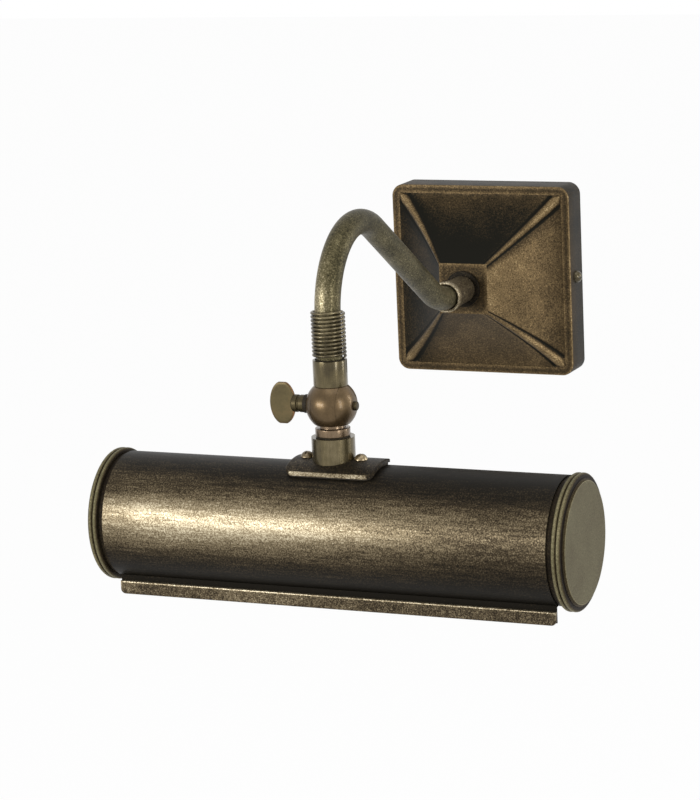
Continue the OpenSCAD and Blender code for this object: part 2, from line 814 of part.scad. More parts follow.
module holder_bracket(side) {
    color("silver") at_end(side) difference() {
        translate([holder_base_x, -holder_bracket_h / 2, -holder_bracket_w / 2])
            cube([holder_bracket_t, holder_bracket_h, holder_bracket_w]);
        for (z = [-1, 1]) translate([0, 0, z * holder_screw_at])
            along_x(holder_base_x - over)
                cylinder(r = holder_screw_r + fit_gap, h = holder_bracket_t + 2 * over);
    }
}

module holder_bracket_left() holder_bracket(-1);
module holder_bracket_right() holder_bracket(1);

module lampholder(side) {
    color("ivory") at_end(side) difference() {
        union() {
            along_x(holder_mouth_x) cylinder(r = holder_r, h = holder_l);
            along_x(holder_base_x - holder_flange_t)
                cylinder(r = holder_flange_r, h = holder_flange_t);
        }
        along_x(holder_mouth_x - over) cylinder(r = socket_r, h = socket_depth + over);
        for (z = [-1, 1]) translate([0, 0, z * holder_screw_at])
            along_x(holder_base_x - holder_flange_t - over)
                cylinder(r = holder_screw_r + 0.1, h = holder_flange_t + 2 * over);
    }
}

module lampholder_left() lampholder(-1);
module lampholder_right() lampholder(1);

module holder_sleeves() {
    color("gold") for (side = [-1, 1])
        at_end(side) along_x(socket_end_x - socket_depth + 3) difference() {
            cylinder(r = socket_r - fit_gap, h = socket_depth - 6);
            translate([0, 0, -over])
                cylinder(r = socket_r - thread_sleeve_t - fit_gap, h = socket_depth);
        }
}

module holder_contacts() {
    color("gold") for (side = [-1, 1])
        at_end(side) along_x(socket_end_x - contact_t) cylinder(r = 3, h = contact_t);
}

module holder_screws() {
    color("silver") for (side = [-1, 1], z = [-1, 1])
        at_end(side) translate([0, 0, z * holder_screw_at]) {
            along_x(holder_base_x - holder_flange_t) mirror([0, 0, 1]) dome_head(2.2, 1.4, 0.6);
            along_x(holder_base_x - holder_flange_t - 0.4)
                cylinder(r = holder_screw_r, h = holder_flange_t + holder_bracket_t + 0.3);
        }
}

// Route of one lead, from inside the stem along the top of the shade to a lampholder
function head_lead_path(side) =
    let (start_x = side * 1.2, end_x = side * (holder_base_x - 12) + shade_offset_x,
         run_z = shade_z + head_lead_z)
    [[start_x, 0, ring_bottom_z - 6], [start_x, 0, stem_end_z], [start_x, 0, run_z + 3.5],
        [side * 2.2, 0, run_z + 1.2], [side * 5, 0, run_z], [side * 20, 0, run_z],
        [side * 50, 0, run_z], [end_x - side * 5, 0, run_z], [end_x - side * 1.5, 0, run_z - 1.5],
        [end_x, 0, run_z - 5], [end_x, 0, shade_z + holder_r]];

module head_leads() {
    color("gainsboro") for (side = [-1, 1])
        at_knuckle() rod(head_lead_path(side), head_lead_r, 8, [0, 1, 0]);
}

// Solid body of a lamp's glass, smaller all round by the thickness given
module lamp_body(t) {
    along_x(lamp_neck_x) cylinder(r = lamp_neck_r - t, h = lamp_neck_l + (t > 0 ? over : 0));
    along_x(lamp_tube_x) cylinder(r1 = lamp_r - t, r2 = lamp_neck_r - t, h = lamp_shoulder_l);
    along_x(lamp_end_x + lamp_r) cylinder(r = lamp_r - t, h = lamp_tube_x - lamp_end_x - lamp_r);
    translate([lamp_end_x + lamp_r, 0, 0]) sphere(lamp_r - t);
}

module lamp_glass(side) {
    color("whitesmoke") at_end(side) difference() {
        lamp_body(0);
        lamp_body(glass_t);
    }
}

module lamp_glass_left() lamp_glass(-1);
module lamp_glass_right() lamp_glass(1);

module lamp_cap(side) {
    color("silver") at_end(side) {
        along_x(lamp_cap_x) cylinder(r = lamp_cap_r, h = lamp_cap_l - lamp_cone_l - lamp_tip_l);
        along_x(lamp_tip_x - lamp_tip_l - lamp_cone_l)
            cylinder(r1 = lamp_cap_r, r2 = 3, h = lamp_cone_l);
        along_x(lamp_tip_x - lamp_tip_l) cylinder(r = 2.5, h = lamp_tip_l);
    }
}

module lamp_cap_left() lamp_cap(-1);
module lamp_cap_right() lamp_cap(1);

module lamp_filament(side) {
    color("orange") at_end(side) {
        along_x(lamp_end_x + 12) cylinder(r = filament_r, h = lamp_cap_x - lamp_end_x - 12);
        along_x(lamp_cap_x - 6) cylinder(r = 3, h = 6);
    }
}

module lamp_filament_left() lamp_filament(-1);
module lamp_filament_right() lamp_filament(1);

wall_bracket();
cable_grommet();
backplate_cover();
cover_side_screws();
terminal_block();
terminal_screws();
earth_screw();
collar_washer();
arm_collar();
collar_lock_washer();
collar_locknut();
arm_tube();
arm_end_ferrule();
arm_lead();
coil_spring();
swivel_bush();
knuckle_fork();
thumb_screw();
thumb_washer();
knuckle_tongue();
ring_washer();
stem_collar();
saddle_plate();
saddle_pad();
saddle_screws();
saddle_nuts();
stem_washer();
stem_nut();
shade_shell();
shade_lip();
end_cap_left();
end_cap_right();
holder_bracket_left();
holder_bracket_right();
lampholder_left();
lampholder_right();
holder_sleeves();
holder_contacts();
holder_screws();
head_leads();
lamp_glass_left();
lamp_cap_left();
lamp_filament_left();
lamp_glass_right();
lamp_cap_right();
lamp_filament_right();
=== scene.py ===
"""Looks of a picture light: aged bronze plate, arm and shade with a glossy brass knuckle.

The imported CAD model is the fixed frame. Large visible pieces are rebuilt here as fine
meshes from formulas; small fasteners and inner parts keep their CAD meshes and get finishes.
Sizes in the classes are in millimetres, and the meshes are in metres.
"""

import logging
import math
from dataclasses import dataclass, field
from enum import Enum

import bpy
import numpy as np
from mathutils import Matrix, Vector

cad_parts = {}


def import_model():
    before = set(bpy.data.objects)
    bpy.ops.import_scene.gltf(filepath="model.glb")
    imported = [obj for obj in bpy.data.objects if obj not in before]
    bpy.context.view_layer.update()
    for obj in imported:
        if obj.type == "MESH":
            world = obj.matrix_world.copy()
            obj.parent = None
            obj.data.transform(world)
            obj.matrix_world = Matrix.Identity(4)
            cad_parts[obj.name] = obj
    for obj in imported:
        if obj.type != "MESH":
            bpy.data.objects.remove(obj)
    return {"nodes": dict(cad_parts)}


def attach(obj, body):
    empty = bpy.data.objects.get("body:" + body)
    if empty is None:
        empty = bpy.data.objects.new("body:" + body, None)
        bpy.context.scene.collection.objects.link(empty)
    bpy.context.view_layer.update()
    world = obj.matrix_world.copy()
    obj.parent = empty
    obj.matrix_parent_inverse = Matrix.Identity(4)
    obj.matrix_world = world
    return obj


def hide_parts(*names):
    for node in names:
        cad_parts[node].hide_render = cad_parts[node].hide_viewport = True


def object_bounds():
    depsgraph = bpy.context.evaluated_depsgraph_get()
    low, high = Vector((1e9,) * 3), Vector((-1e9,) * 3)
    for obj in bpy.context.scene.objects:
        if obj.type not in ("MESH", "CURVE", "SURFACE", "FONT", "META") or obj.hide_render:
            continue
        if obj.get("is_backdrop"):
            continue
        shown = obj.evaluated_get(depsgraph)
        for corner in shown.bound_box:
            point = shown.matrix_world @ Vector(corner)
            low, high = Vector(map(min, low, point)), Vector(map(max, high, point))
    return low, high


MM = 0.001
SMOOTH_BELOW = math.radians(34)
LOG = logging.getLogger("picture_light")

Colour = tuple[float, float, float]
Points = np.ndarray


class Axis(Enum):
    """The frame axis that a turned piece is turned about."""

    X = "x"
    Y = "y"
    Z = "z"


# ---------------------------------------------------------------- mesh building


def fillet(profile: Points, radius: float, steps: int = 4) -> Points:
    """Rounds the corners of an open outline.

    Each corner is replaced by a quadratic curve that starts and ends a short way along
    its two edges: p(t) = (1-t)^2 a + 2t(1-t) corner + t^2 b.

    Args:
        profile: outline points, shape (n, 2).
        radius: how far along each edge the rounding reaches, at most 0.45 of the edge.
        steps: pieces in each rounded corner.

    Returns:
        The rounded outline, shape (m, 2).
    """
    pts = np.asarray(profile, float)
    before, corner, after = pts[:-2], pts[1:-1], pts[2:]
    into, out = before - corner, after - corner
    len_in = np.linalg.norm(into, axis=1, keepdims=True)
    len_out = np.linalg.norm(out, axis=1, keepdims=True)
    a = corner + into / len_in * np.minimum(radius, 0.45 * len_in)
    b = corner + out / len_out * np.minimum(radius, 0.45 * len_out)
    t = np.linspace(0, 1, steps + 1)[None, :, None]
    curves = (1 - t) ** 2 * a[:, None] + 2 * t * (1 - t) * corner[:, None] + t**2 * b[:, None]
    return np.vstack([pts[:1], curves.reshape(-1, 2), pts[-1:]])


def turned(profile: Points, segments: int, axis: Axis, centre: Points) -> Points:
    """Revolves an outline about an axis.

    A point (r, h) becomes r cos(a), r sin(a) across the axis and h along it.

    Args:
        profile: outline points (r, h), shape (n, 2).
        segments: points round the axis.
        axis: the axis to turn about.
        centre: where r = 0, h = 0 lies.

    Returns:
        Grid of points, shape (n, segments, 3).
    """
    a = np.linspace(0, 2 * np.pi, segments, endpoint=False)
    r, h = profile[:, :1], np.repeat(profile[:, 1:2], segments, axis=1)
    across, over = r * np.cos(a), r * np.sin(a)
    order = {Axis.X: (h, across, over), Axis.Y: (over, h, across), Axis.Z: (across, over, h)}
    return np.stack(order[axis], axis=-1) + np.asarray(centre, float)


def swept(path: Points, radius: Points, sides: int, side: Points) -> Points:
    """Carries a circle along a path.

    Each ring is centre + radius (cos a * A + sin a * B), where A and B are square to the
    path's direction there and A is also square to a fixed side vector.

    Args:
        path: points of the centre line, shape (n, 3).
        radius: radius at each point, shape (n,).
        sides: points in each ring.
        side: fixed vector that is never along the path.

    Returns:
        Grid of points, shape (n, sides, 3).
    """
    heading = np.gradient(path, axis=0)
    heading /= np.linalg.norm(heading, axis=1, keepdims=True)
    first = np.cross(heading, np.asarray(side, float))
    first /= np.linalg.norm(first, axis=1, keepdims=True)
    second = np.cross(heading, first)
    a = np.linspace(0, 2 * np.pi, sides, endpoint=False)[None, :, None]
    ring = np.cos(a) * first[:, None] + np.sin(a) * second[:, None]
    return path[:, None] + radius[:, None, None] * ring


@dataclass
class Sheet:
    """A grid of points that closes round its second index.

    Args:
        points: shape (rows, columns, 3), in millimetres.
        rub_and_highlight: how much the finish is lightened, by point or as one number: rubbed edges, and on
            some pieces a painted highlight.
        grime_and_shade: how much the finish is darkened, by point or as one number: patina and soiling, and
            on some pieces painted shade.
        loop: whether the last row joins the first; if not, both ends get a cap.
        finish: index of the material that the sheet wears, or one for each column.
    """

    points: Points
    rub_and_highlight: Points | float = 0.0
    grime_and_shade: Points | float = 0.0
    loop: bool = False
    finish: int | Points = 0

    def faces(self, start: int) -> list[list[int]]:
        """Quads between neighbouring rows, and triangle fans to a centre at both ends.

        Args:
            start: index of the sheet's first vertex in the mesh.

        Returns:
            Faces as lists of vertex indices.
        """
        rows, cols = self.points.shape[:2]
        ids = start + np.arange(rows * cols).reshape(rows, cols)
        low = ids if self.loop else ids[:-1]
        high = np.roll(ids, -1, axis=0) if self.loop else ids[1:]
        quads = np.stack([low, np.roll(low, -1, 1), np.roll(high, -1, 1), high], axis=-1)
        found = quads.reshape(-1, 4).tolist()
        if not self.loop:
            first, last = start + rows * cols, start + rows * cols + 1
            near, far = ids[0], ids[-1]
            found += np.stack([np.roll(near, -1), near, np.full(cols, first)], -1).tolist()
            found += np.stack([far, np.roll(far, -1), np.full(cols, last)], -1).tolist()
        return found

    def dress(self, count: int) -> Points:
        """Material index of each face.

        Args:
            count: how many faces the sheet has.

        Returns:
            One index for each face; end caps wear the first column's.
        """
        rows, cols = self.points.shape[:2]
        each = np.broadcast_to(np.asarray(self.finish), (cols,))
        quads = np.tile(each, rows if self.loop else rows - 1)
        return np.concatenate([quads, np.full(count - len(quads), each[0])])

    def vertices(self) -> Points:
        """All vertices, with the two cap centres last on a sheet that isn't a loop."""
        flat = self.points.reshape(-1, 3)
        if self.loop:
            return flat
        return np.vstack([flat, self.points[0].mean(0), self.points[-1].mean(0)])

    def spread(self, value: Points | float) -> Points:
        """Value of a mask at every vertex.

        Args:
            value: one number, or an array that broadcasts to the grid.

        Returns:
            One number for each vertex.
        """
        grid = np.broadcast_to(np.asarray(value, float), self.points.shape[:2])
        if self.loop:
            return grid.reshape(-1)
        return np.concatenate([grid.reshape(-1), [grid[0].mean(), grid[-1].mean()]])


def build(name: str, sheets: list[Sheet], finishes: list[bpy.types.Material],
          body: str, nodes: list[str]) -> bpy.types.Object:
    """Makes one object from closed sheets, and hangs it in the frame.

    Args:
        name: the piece's name.
        sheets: its closed grids, in millimetres.
        finishes: its materials, by the sheets' finish index.
        body: the CAD body that it moves with.
        nodes: the CAD nodes that it stands for.

    Returns:
        The new object.
    """
    vertices, faces, rub_and_highlight_parts, grime_and_shade_parts, worn = [], [], [], [], []
    start = 0
    for sheet in sheets:
        these = sheet.vertices()
        found = sheet.faces(start)
        vertices.append(these)
        faces += found
        rub_and_highlight_parts.append(sheet.spread(sheet.rub_and_highlight))
        grime_and_shade_parts.append(sheet.spread(sheet.grime_and_shade))
        worn.append(sheet.dress(len(found)))
        start += len(these)
    mesh = bpy.data.meshes.new(name)
    mesh.from_pydata((np.vstack(vertices) * MM).tolist(), [], faces)
    mesh.polygons.foreach_set("material_index", np.concatenate(worn).astype(np.int32))
    mesh.polygons.foreach_set("use_smooth", np.ones(len(mesh.polygons), bool))
    # Point masks that the finishes read: the first lightens the finish, for rubbed edges and painted
    # highlights; the second darkens it, for patina, soiling and painted shade.
    for label, parts in (("rub_and_highlight", rub_and_highlight_parts), ("grime_and_shade", grime_and_shade_parts)):
        layer = mesh.attributes.new(label, "FLOAT", "POINT")
        layer.data.foreach_set("value", np.concatenate(parts).astype(np.float32))
    for finish in finishes:
        mesh.materials.append(finish)
    mesh.validate()
    face_outwards(mesh)
    mesh.set_sharp_from_angle(angle=SMOOTH_BELOW)
    piece = bpy.data.objects.new(name, mesh)
    bpy.context.scene.collection.objects.link(piece)
    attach(piece, body)
    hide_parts(*nodes)
    LOG.info("%s: %d faces on %s", name, len(mesh.polygons), body)
    return piece


def face_outwards(mesh: bpy.types.Mesh) -> None:
    """Turns each closed part of a mesh so that its faces point out.

    Args:
        mesh: the mesh to mend in place.
    """
    import bmesh

    work = bmesh.new()
    work.from_mesh(mesh)
    bmesh.ops.recalc_face_normals(work, faces=work.faces)
    work.to_mesh(mesh)
    work.free()


def smoothstep(x: Points) -> Points:
    """Smooth rise from 0 at x = 0 to 1 at x = 1: t^2 (3 - 2t) of x held to that range."""
    t = np.clip(x, 0, 1)
    return t * t * (3 - 2 * t)


def edge_rub(profile: Points, width: float = 0.5) -> Points:
    """How sharply an outline turns at each point, from 0 to 1, as a mask for rubbed edges.

    Args:
        profile: outline points, shape (n, 2).
        width: how much a turn of 30 degrees counts.

    Returns:
        Mask, shape (n, 1).
    """
    step = np.diff(profile, axis=0)
    angle = np.unwrap(np.arctan2(step[:, 1], step[:, 0]))
    turn = np.zeros(len(profile))
    turn[1:-1] = np.abs(np.diff(angle))
    return np.clip(turn / math.radians(30) * width, 0, 1)[:, None]


# ---------------------------------------------------------------- finishes


def linear(colour: Colour) -> tuple[float, float, float, float]:
    """Turns a screen colour, 0 to 255 a channel, into linear light with full alpha."""
    c = np.asarray(colour, float) / 255
    lin = np.where(c <= 0.04045, c / 12.92, ((c + 0.055) / 1.055) ** 2.4)
    return float(lin[0]), float(lin[1]), float(lin[2]), 1.0


class Graph:
    """Short way to add and link shader nodes."""

    def __init__(self, name: str) -> None:
        """Starts a material with a Principled shader.

        Args:
            name: the material's name.
        """
        self.material = bpy.data.materials.new(name)
        self.material.use_nodes = True
        self.tree = self.material.node_tree
        self.shader = self.tree.nodes["Principled BSDF"]

    def add(self, kind: str, **settings: object) -> bpy.types.Node:
        """Adds a node and sets its properties.

        Args:
            kind: the node's type, without its ShaderNode prefix.
            settings: properties to set on it.

        Returns:
            The node.
        """
        node = self.tree.nodes.new("ShaderNode" + kind)
        for key, value in settings.items():
            setattr(node, key, value)
        return node

    def wire(self, source: object, target: object) -> None:
        """Feeds a socket or a plain number into an input socket."""
        if isinstance(source, bpy.types.NodeSocket):
            self.tree.links.new(source, target)
        else:
            target.default_value = source

    def math(self, operation: str, a: object, b: object = 0.0, clamp: bool = False) -> object:
        """One math node.

        Args:
            operation: the node's operation.
            a: first socket or number.
            b: second socket or number.
            clamp: whether the result is held between 0 and 1.

        Returns:
            The result's socket.
        """
        node = self.add("Math", operation=operation, use_clamp=clamp)
        self.wire(a, node.inputs[0])
        self.wire(b, node.inputs[1])
        return node.outputs[0]

    def noise(self, scale: float, stretch: Colour = (1, 1, 1), detail: float = 4,
              rough: float = 0.55, shift: float = 0.0) -> object:
        """Noise on Object coordinates, with features about 1 / scale metres across.

        Args:
            scale: noise scale, per metre.
            stretch: factor on each coordinate; a low factor draws the pattern out along it.
            detail: octaves.
            rough: share of the finer octaves.
            shift: offset of the pattern.

        Returns:
            The value's socket.
        """
        place = self.add("TexCoord")
        mapping = self.add("Mapping")
        mapping.inputs["Scale"].default_value = stretch
        mapping.inputs["Location"].default_value = (shift, shift * 0.7, shift * 1.3)
        self.tree.links.new(place.outputs["Object"], mapping.inputs["Vector"])
        noise = self.add("TexNoise")
        noise.inputs["Scale"].default_value = scale
        noise.inputs["Detail"].default_value = detail
        noise.inputs["Roughness"].default_value = rough
        self.tree.links.new(mapping.outputs["Vector"], noise.inputs["Vector"])
        return noise.outputs["Fac"]

    def centred(self, value: object, gain: float) -> object:
        """A noise value less its mean, times a gain."""
        return self.math("MULTIPLY", self.math("SUBTRACT", value, 0.5), gain)

    def mask(self, label: str) -> object:
        """The piece's own mask that lightens its finish (rubbed edges, painted highlights) or darkens it
        (patina, soiling, painted shade); 0 where the mesh has none.
        """
        return self.add("Attribute", attribute_name=label).outputs["Fac"]

    def ramp(self, value: object, stops: list[tuple[float, Colour]]) -> object:
        """Colour ramp.

        Args:
            value: the socket that drives it.
            stops: places from 0 to 1 with their screen colours.

        Returns:
            The colour's socket.
        """
        node = self.add("ValToRGB")
        elements = node.color_ramp.elements
        while len(elements) < len(stops):
            elements.new(0.5)
        for element, (place, colour) in zip(elements, stops):
            element.position = place
            element.color = linear(colour)
        self.wire(value, node.inputs["Fac"])
        return node.outputs["Color"]

    def span(self, value: object, low: float, high: float) -> object:
        """Maps 0 to 1 onto low to high."""
        node = self.add("MapRange")
        self.wire(value, node.inputs["Value"])
        node.inputs["To Min"].default_value = low
        node.inputs["To Max"].default_value = high
        return node.outputs["Result"]

    def bump(self, height: object, distance: float, strength: float) -> None:
        """Adds a bump to the shader.

        Args:
            height: the socket that gives the height.
            distance: height of a full step, in metres.
            strength: from 0 to 1.
        """
        node = self.add("Bump")
        node.inputs["Distance"].default_value = distance
        node.inputs["Strength"].default_value = strength
        self.wire(height, node.inputs["Height"])
        self.wire(node.outputs["Normal"], self.shader.inputs["Normal"])


@dataclass(frozen=True)
class Patina:
    """Dark lacquer over metal, rubbed and sponged through to a light gold.

    Args:
        name: the material's name.
        stops: colours from untouched lacquer to rubbed metal.
        cover: how much light finish there is where nothing is rubbed, 0 to 1.
        patch: strength of the blotches.
        speckle: strength of the fine grain.
        brush: strength of the fine streaks.
        streak: factor on each coordinate of the blotches; low draws them out.
        metallic: share of metal.
        rough: roughness of rubbed and of untouched finish.
        grain: size of the fine grain, per metre.
        relief: height of the grain, in metres.
    """

    name: str
    stops: tuple[tuple[float, Colour], ...]
    cover: float = 0.35
    patch: float = 0.5
    speckle: float = 2.0
    brush: float = 0.8
    streak: Colour = (1, 1, 1)
    metallic: float = 0.75
    rough: tuple[float, float] = (0.36, 0.5)
    grain: float = 1500
    relief: float = 0.00006

    def make(self) -> bpy.types.Material:
        """Builds the node material.

        Returns:
            The material.
        """
        g = Graph(self.name)
        blotch = g.centred(g.noise(45, self.streak, 5, 0.6), self.patch)
        brushed = g.centred(g.noise(750, self.streak, 3, 0.65, 0.3), self.brush)
        fine = g.noise(self.grain, (1, 1, 1), 2, 0.7, 0.1)
        level = g.math("ADD", g.math("ADD", blotch, brushed), g.centred(fine, self.speckle))
        level = g.math("ADD", level, self.cover)
        # The first mask lightens the finish, for rubbed edges and painted highlights; the second darkens
        # it, for patina, soiling and painted shade.
        level = g.math("ADD", level, g.math("MULTIPLY", g.mask("rub_and_highlight"), 0.75))
        level = g.math("SUBTRACT", level, g.math("MULTIPLY", g.mask("grime_and_shade"), 0.7), True)
        g.wire(g.ramp(level, list(self.stops)), g.shader.inputs["Base Color"])
        g.wire(g.span(level, self.rough[1], self.rough[0]), g.shader.inputs["Roughness"])
        g.shader.inputs["Metallic"].default_value = self.metallic
        g.shader.inputs["Specular IOR Level"].default_value = 0.12
        g.bump(fine, self.relief, 0.5)
        return g.material


@dataclass(frozen=True)
class Lacquered:
    """Smooth lacquered brass with faint clouds and hairline scratches.

    Args:
        name: the material's name.
        stops: colours of the clouds, dark to light.
        metallic: share of metal.
        rough: roughness range over the clouds.
        coat: weight of the clear lacquer.
        cloud: size of the clouds, per metre.
        streak: factor on each coordinate of the hairlines.
    """

    name: str
    stops: tuple[tuple[float, Colour], ...]
    metallic: float = 0.85
    rough: tuple[float, float] = (0.2, 0.32)
    coat: float = 0.3
    cloud: float = 70
    streak: Colour = (1, 1, 1)

    def make(self) -> bpy.types.Material:
        """Builds the node material.

        Returns:
            The material.
        """
        g = Graph(self.name)
        clouds = g.noise(self.cloud, (1, 1, 1), 4, 0.6)
        lines = g.noise(1400, self.streak, 2, 0.6, 0.2)
        level = g.math("ADD", g.centred(clouds, 1.6), g.centred(lines, 0.45))
        level = g.math("ADD", level, 0.5)
        # The first mask lightens the finish, for rubbed edges and painted highlights; the second darkens
        # it, for patina, soiling and painted shade.
        level = g.math("ADD", level, g.math("MULTIPLY", g.mask("rub_and_highlight"), 0.5))
        level = g.math("SUBTRACT", level, g.math("MULTIPLY", g.mask("grime_and_shade"), 0.8), True)
        g.wire(g.ramp(level, list(self.stops)), g.shader.inputs["Base Color"])
        g.wire(g.span(lines, self.rough[0], self.rough[1]), g.shader.inputs["Roughness"])
        g.shader.inputs["Metallic"].default_value = self.metallic
        g.shader.inputs["Coat Weight"].default_value = self.coat
        g.shader.inputs["Coat Roughness"].default_value = 0.12
        g.bump(lines, 0.00002, 0.35)
        return g.material


@dataclass(frozen=True)
class Plain:
    """Moulded, glazed or plated stock of one colour, with slight mottling and grain.

    Args:
        name: the material's name.
        dark: darkest colour of the mottling.
        light: lightest colour of the mottling.
        metallic: share of metal.
        rough: roughness range.
        grain: size of the mottling, per metre.
        coat: weight of a glaze or gloss skin.
        relief: height of the grain, in metres.
        specular: strength of the plain reflection of a skin that isn't metal.
    """

    name: str
    dark: Colour
    light: Colour
    metallic: float = 0.0
    rough: tuple[float, float] = (0.4, 0.55)
    grain: float = 500
    coat: float = 0.0
    relief: float = 0.00003
    specular: float = 0.5

    def make(self) -> bpy.types.Material:
        """Builds the node material.

        Returns:
            The material.
        """
        g = Graph(self.name)
        grain = g.noise(self.grain, (1, 1, 1), 5, 0.65)
        g.wire(g.ramp(grain, [(0.3, self.dark), (0.7, self.light)]), g.shader.inputs["Base Color"])
        g.wire(g.span(grain, self.rough[0], self.rough[1]), g.shader.inputs["Roughness"])
        g.shader.inputs["Metallic"].default_value = self.metallic
        g.shader.inputs["Coat Weight"].default_value = self.coat
        g.shader.inputs["Specular IOR Level"].default_value = self.specular
        g.bump(grain, self.relief, 0.4)
        return g.material


@dataclass(frozen=True)
class ClearGlass:
    """Thin clear glass of a lamp, with faint dust."""

    name: str = "clear_lamp_glass"

    def make(self) -> bpy.types.Material:
        """Builds the node material.

        Returns:
            The material.
        """
        g = Graph(self.name)
        dust = g.noise(220, (1, 1, 1), 4, 0.6)
        g.wire(g.ramp(dust, [(0.3, (236, 238, 238)), (0.7, (250, 251, 251))]),
               g.shader.inputs["Base Color"])
        g.wire(g.span(dust, 0.02, 0.09), g.shader.inputs["Roughness"])
        g.shader.inputs["Transmission Weight"].default_value = 1.0
        g.shader.inputs["IOR"].default_value = 1.45
        return g.material


BRONZE_STOPS = ((0.0, (23, 20, 15)), (0.3, (62, 53, 39)), (0.6, (124, 111, 87)),
                (1.0, (206, 195, 168)))


@dataclass
class Finishes:
    """Every finish of the light, made once."""

    barrel: bpy.types.Material = field(init=False)
    plate: bpy.types.Material = field(init=False)
    tube: bpy.types.Material = field(init=False)
    cap: bpy.types.Material = field(init=False)
    trim: bpy.types.Material = field(init=False)
    sleeve: bpy.types.Material = field(init=False)
    ball: bpy.types.Material = field(init=False)
    ring: bpy.types.Material = field(init=False)
    wing: bpy.types.Material = field(init=False)
    spring: bpy.types.Material = field(init=False)
    screw: bpy.types.Material = field(init=False)
    inside: bpy.types.Material = field(init=False)
    slots: dict[str, bpy.types.Material] = field(init=False)

    def __post_init__(self) -> None:
        """Makes the materials, and lists which one each CAD slot wears."""
        self.barrel = Patina("sponged_barrel_bronze", BRONZE_STOPS, cover=0.15, patch=0.7,
                             speckle=1.2, brush=0.5, streak=(0.1, 1, 1), metallic=0.65).make()
        self.plate = Patina("cast_plate_bronze", ((0.0, (20, 19, 13)), (0.35, (66, 54, 36)),
                            (0.65, (116, 97, 67)), (1.0, (196, 174, 132))), cover=0.36,
                            patch=0.5, speckle=1.0, brush=0.4, metallic=0.6,
                            rough=(0.38, 0.52)).make()
        self.tube = Patina("mottled_tube_bronze", ((0.0, (22, 22, 15)), (0.35, (66, 61, 42)),
                           (0.65, (104, 96, 70)), (1.0, (188, 176, 146))), cover=0.4,
                           patch=0.7, speckle=1.3, brush=0.6, metallic=0.65,
                           rough=(0.36, 0.5)).make()
        self.cap = Patina("flat_cap_bronze", ((0.0, (24, 18, 11)), (0.3, (66, 56, 37)),
                          (0.6, (98, 93, 68)), (1.0, (176, 160, 124))), cover=0.47, patch=0.3,
                          speckle=0.6, brush=0.3, metallic=0.45, rough=(0.45, 0.6)).make()
        self.trim = Patina("rubbed_trim_bronze", BRONZE_STOPS, cover=0.34, patch=0.5,
                           speckle=1.5, metallic=0.6).make()
        self.sleeve = Lacquered("olive_sleeve_brass", ((0.0, (56, 49, 33)), (0.5, (92, 82, 56)),
                                (1.0, (124, 112, 84))), streak=(1, 1, 0.08)).make()
        self.ball = Lacquered("brown_ball_brass", ((0.0, (62, 49, 32)), (0.5, (92, 75, 51)),
                              (1.0, (120, 99, 72))), rough=(0.3, 0.42), coat=0.15).make()
        self.ring = Lacquered("pink_ring_brass", ((0.0, (72, 59, 43)), (0.5, (106, 88, 66)),
                              (1.0, (136, 115, 92))), streak=(1, 1, 0.1)).make()
        self.wing = Lacquered("wing_brass", ((0.0, (58, 50, 34)), (0.5, (80, 71, 48)),
                              (0.88, (94, 80, 54)), (1.0, (142, 103, 68))),
                              rough=(0.38, 0.5), coat=0.0).make()
        self.spring = Lacquered("spring_wire_brass", ((0.0, (34, 30, 20)), (0.5, (82, 73, 50)),
                                (1.0, (152, 140, 106))), rough=(0.26, 0.38)).make()
        self.screw = Lacquered("worn_screw_brass", ((0.0, (70, 60, 43)), (0.5, (122, 107, 81)),
                               (1.0, (194, 178, 142))), rough=(0.26, 0.4)).make()
        self.inside = Plain("white_reflector_enamel", (222, 219, 210), (238, 236, 229),
                            rough=(0.3, 0.45), grain=160, coat=0.2).make()
        zinc = Plain("zinc_plated_steel", (126, 128, 130), (176, 178, 180), 1.0, (0.3, 0.45), 900)
        fibre = Plain("dark_fibre_board", (30, 26, 19), (50, 43, 32), rough=(0.5, 0.7),
                      specular=0.15)
        rubber = Plain("moulded_rubber", (18, 18, 19), (32, 32, 33), rough=(0.55, 0.75),
                       specular=0.3)
        nylon = Plain("white_nylon", (212, 211, 205), (230, 229, 224), rough=(0.35, 0.5))
        glaze = Plain("glazed_porcelain", (222, 219, 210), (238, 236, 230), rough=(0.12, 0.2),
                      grain=90, coat=0.6)
        contact = Plain("rolled_contact_brass", (176, 142, 78), (214, 180, 110), 1.0,
                        (0.22, 0.36), 700)
        sheath = Plain("lead_sheath_plastic", (188, 186, 178), (206, 204, 197), rough=(0.3, 0.42))
        cap = Plain("lamp_cap_aluminium", (150, 150, 148), (190, 190, 188), 1.0, (0.25, 0.4), 800)
        wire = Plain("filament_wire", (70, 66, 62), (110, 104, 98), 1.0, (0.3, 0.5), 2000)
        made = {"rubber": rubber, "dark_fibre": fibre, "white_plastic": nylon,
                "porcelain": glaze, "contact_brass": contact, "lead_sheath": sheath,
                "lamp_cap_metal": cap, "filament": wire, "zinc_steel": zinc}
        self.slots = {slot: stock.make() for slot, stock in made.items()}
        self.slots["lamp_glass"] = ClearGlass().make()
        self.slots["antique_bronze"] = self.plate
        self.slots["worn_bronze"] = self.trim
        self.slots["olive_brass"] = self.sleeve
        self.slots["spring_brass"] = self.spring
        self.slots["screw_brass"] = self.screw


# ---------------------------------------------------------------- wall plate


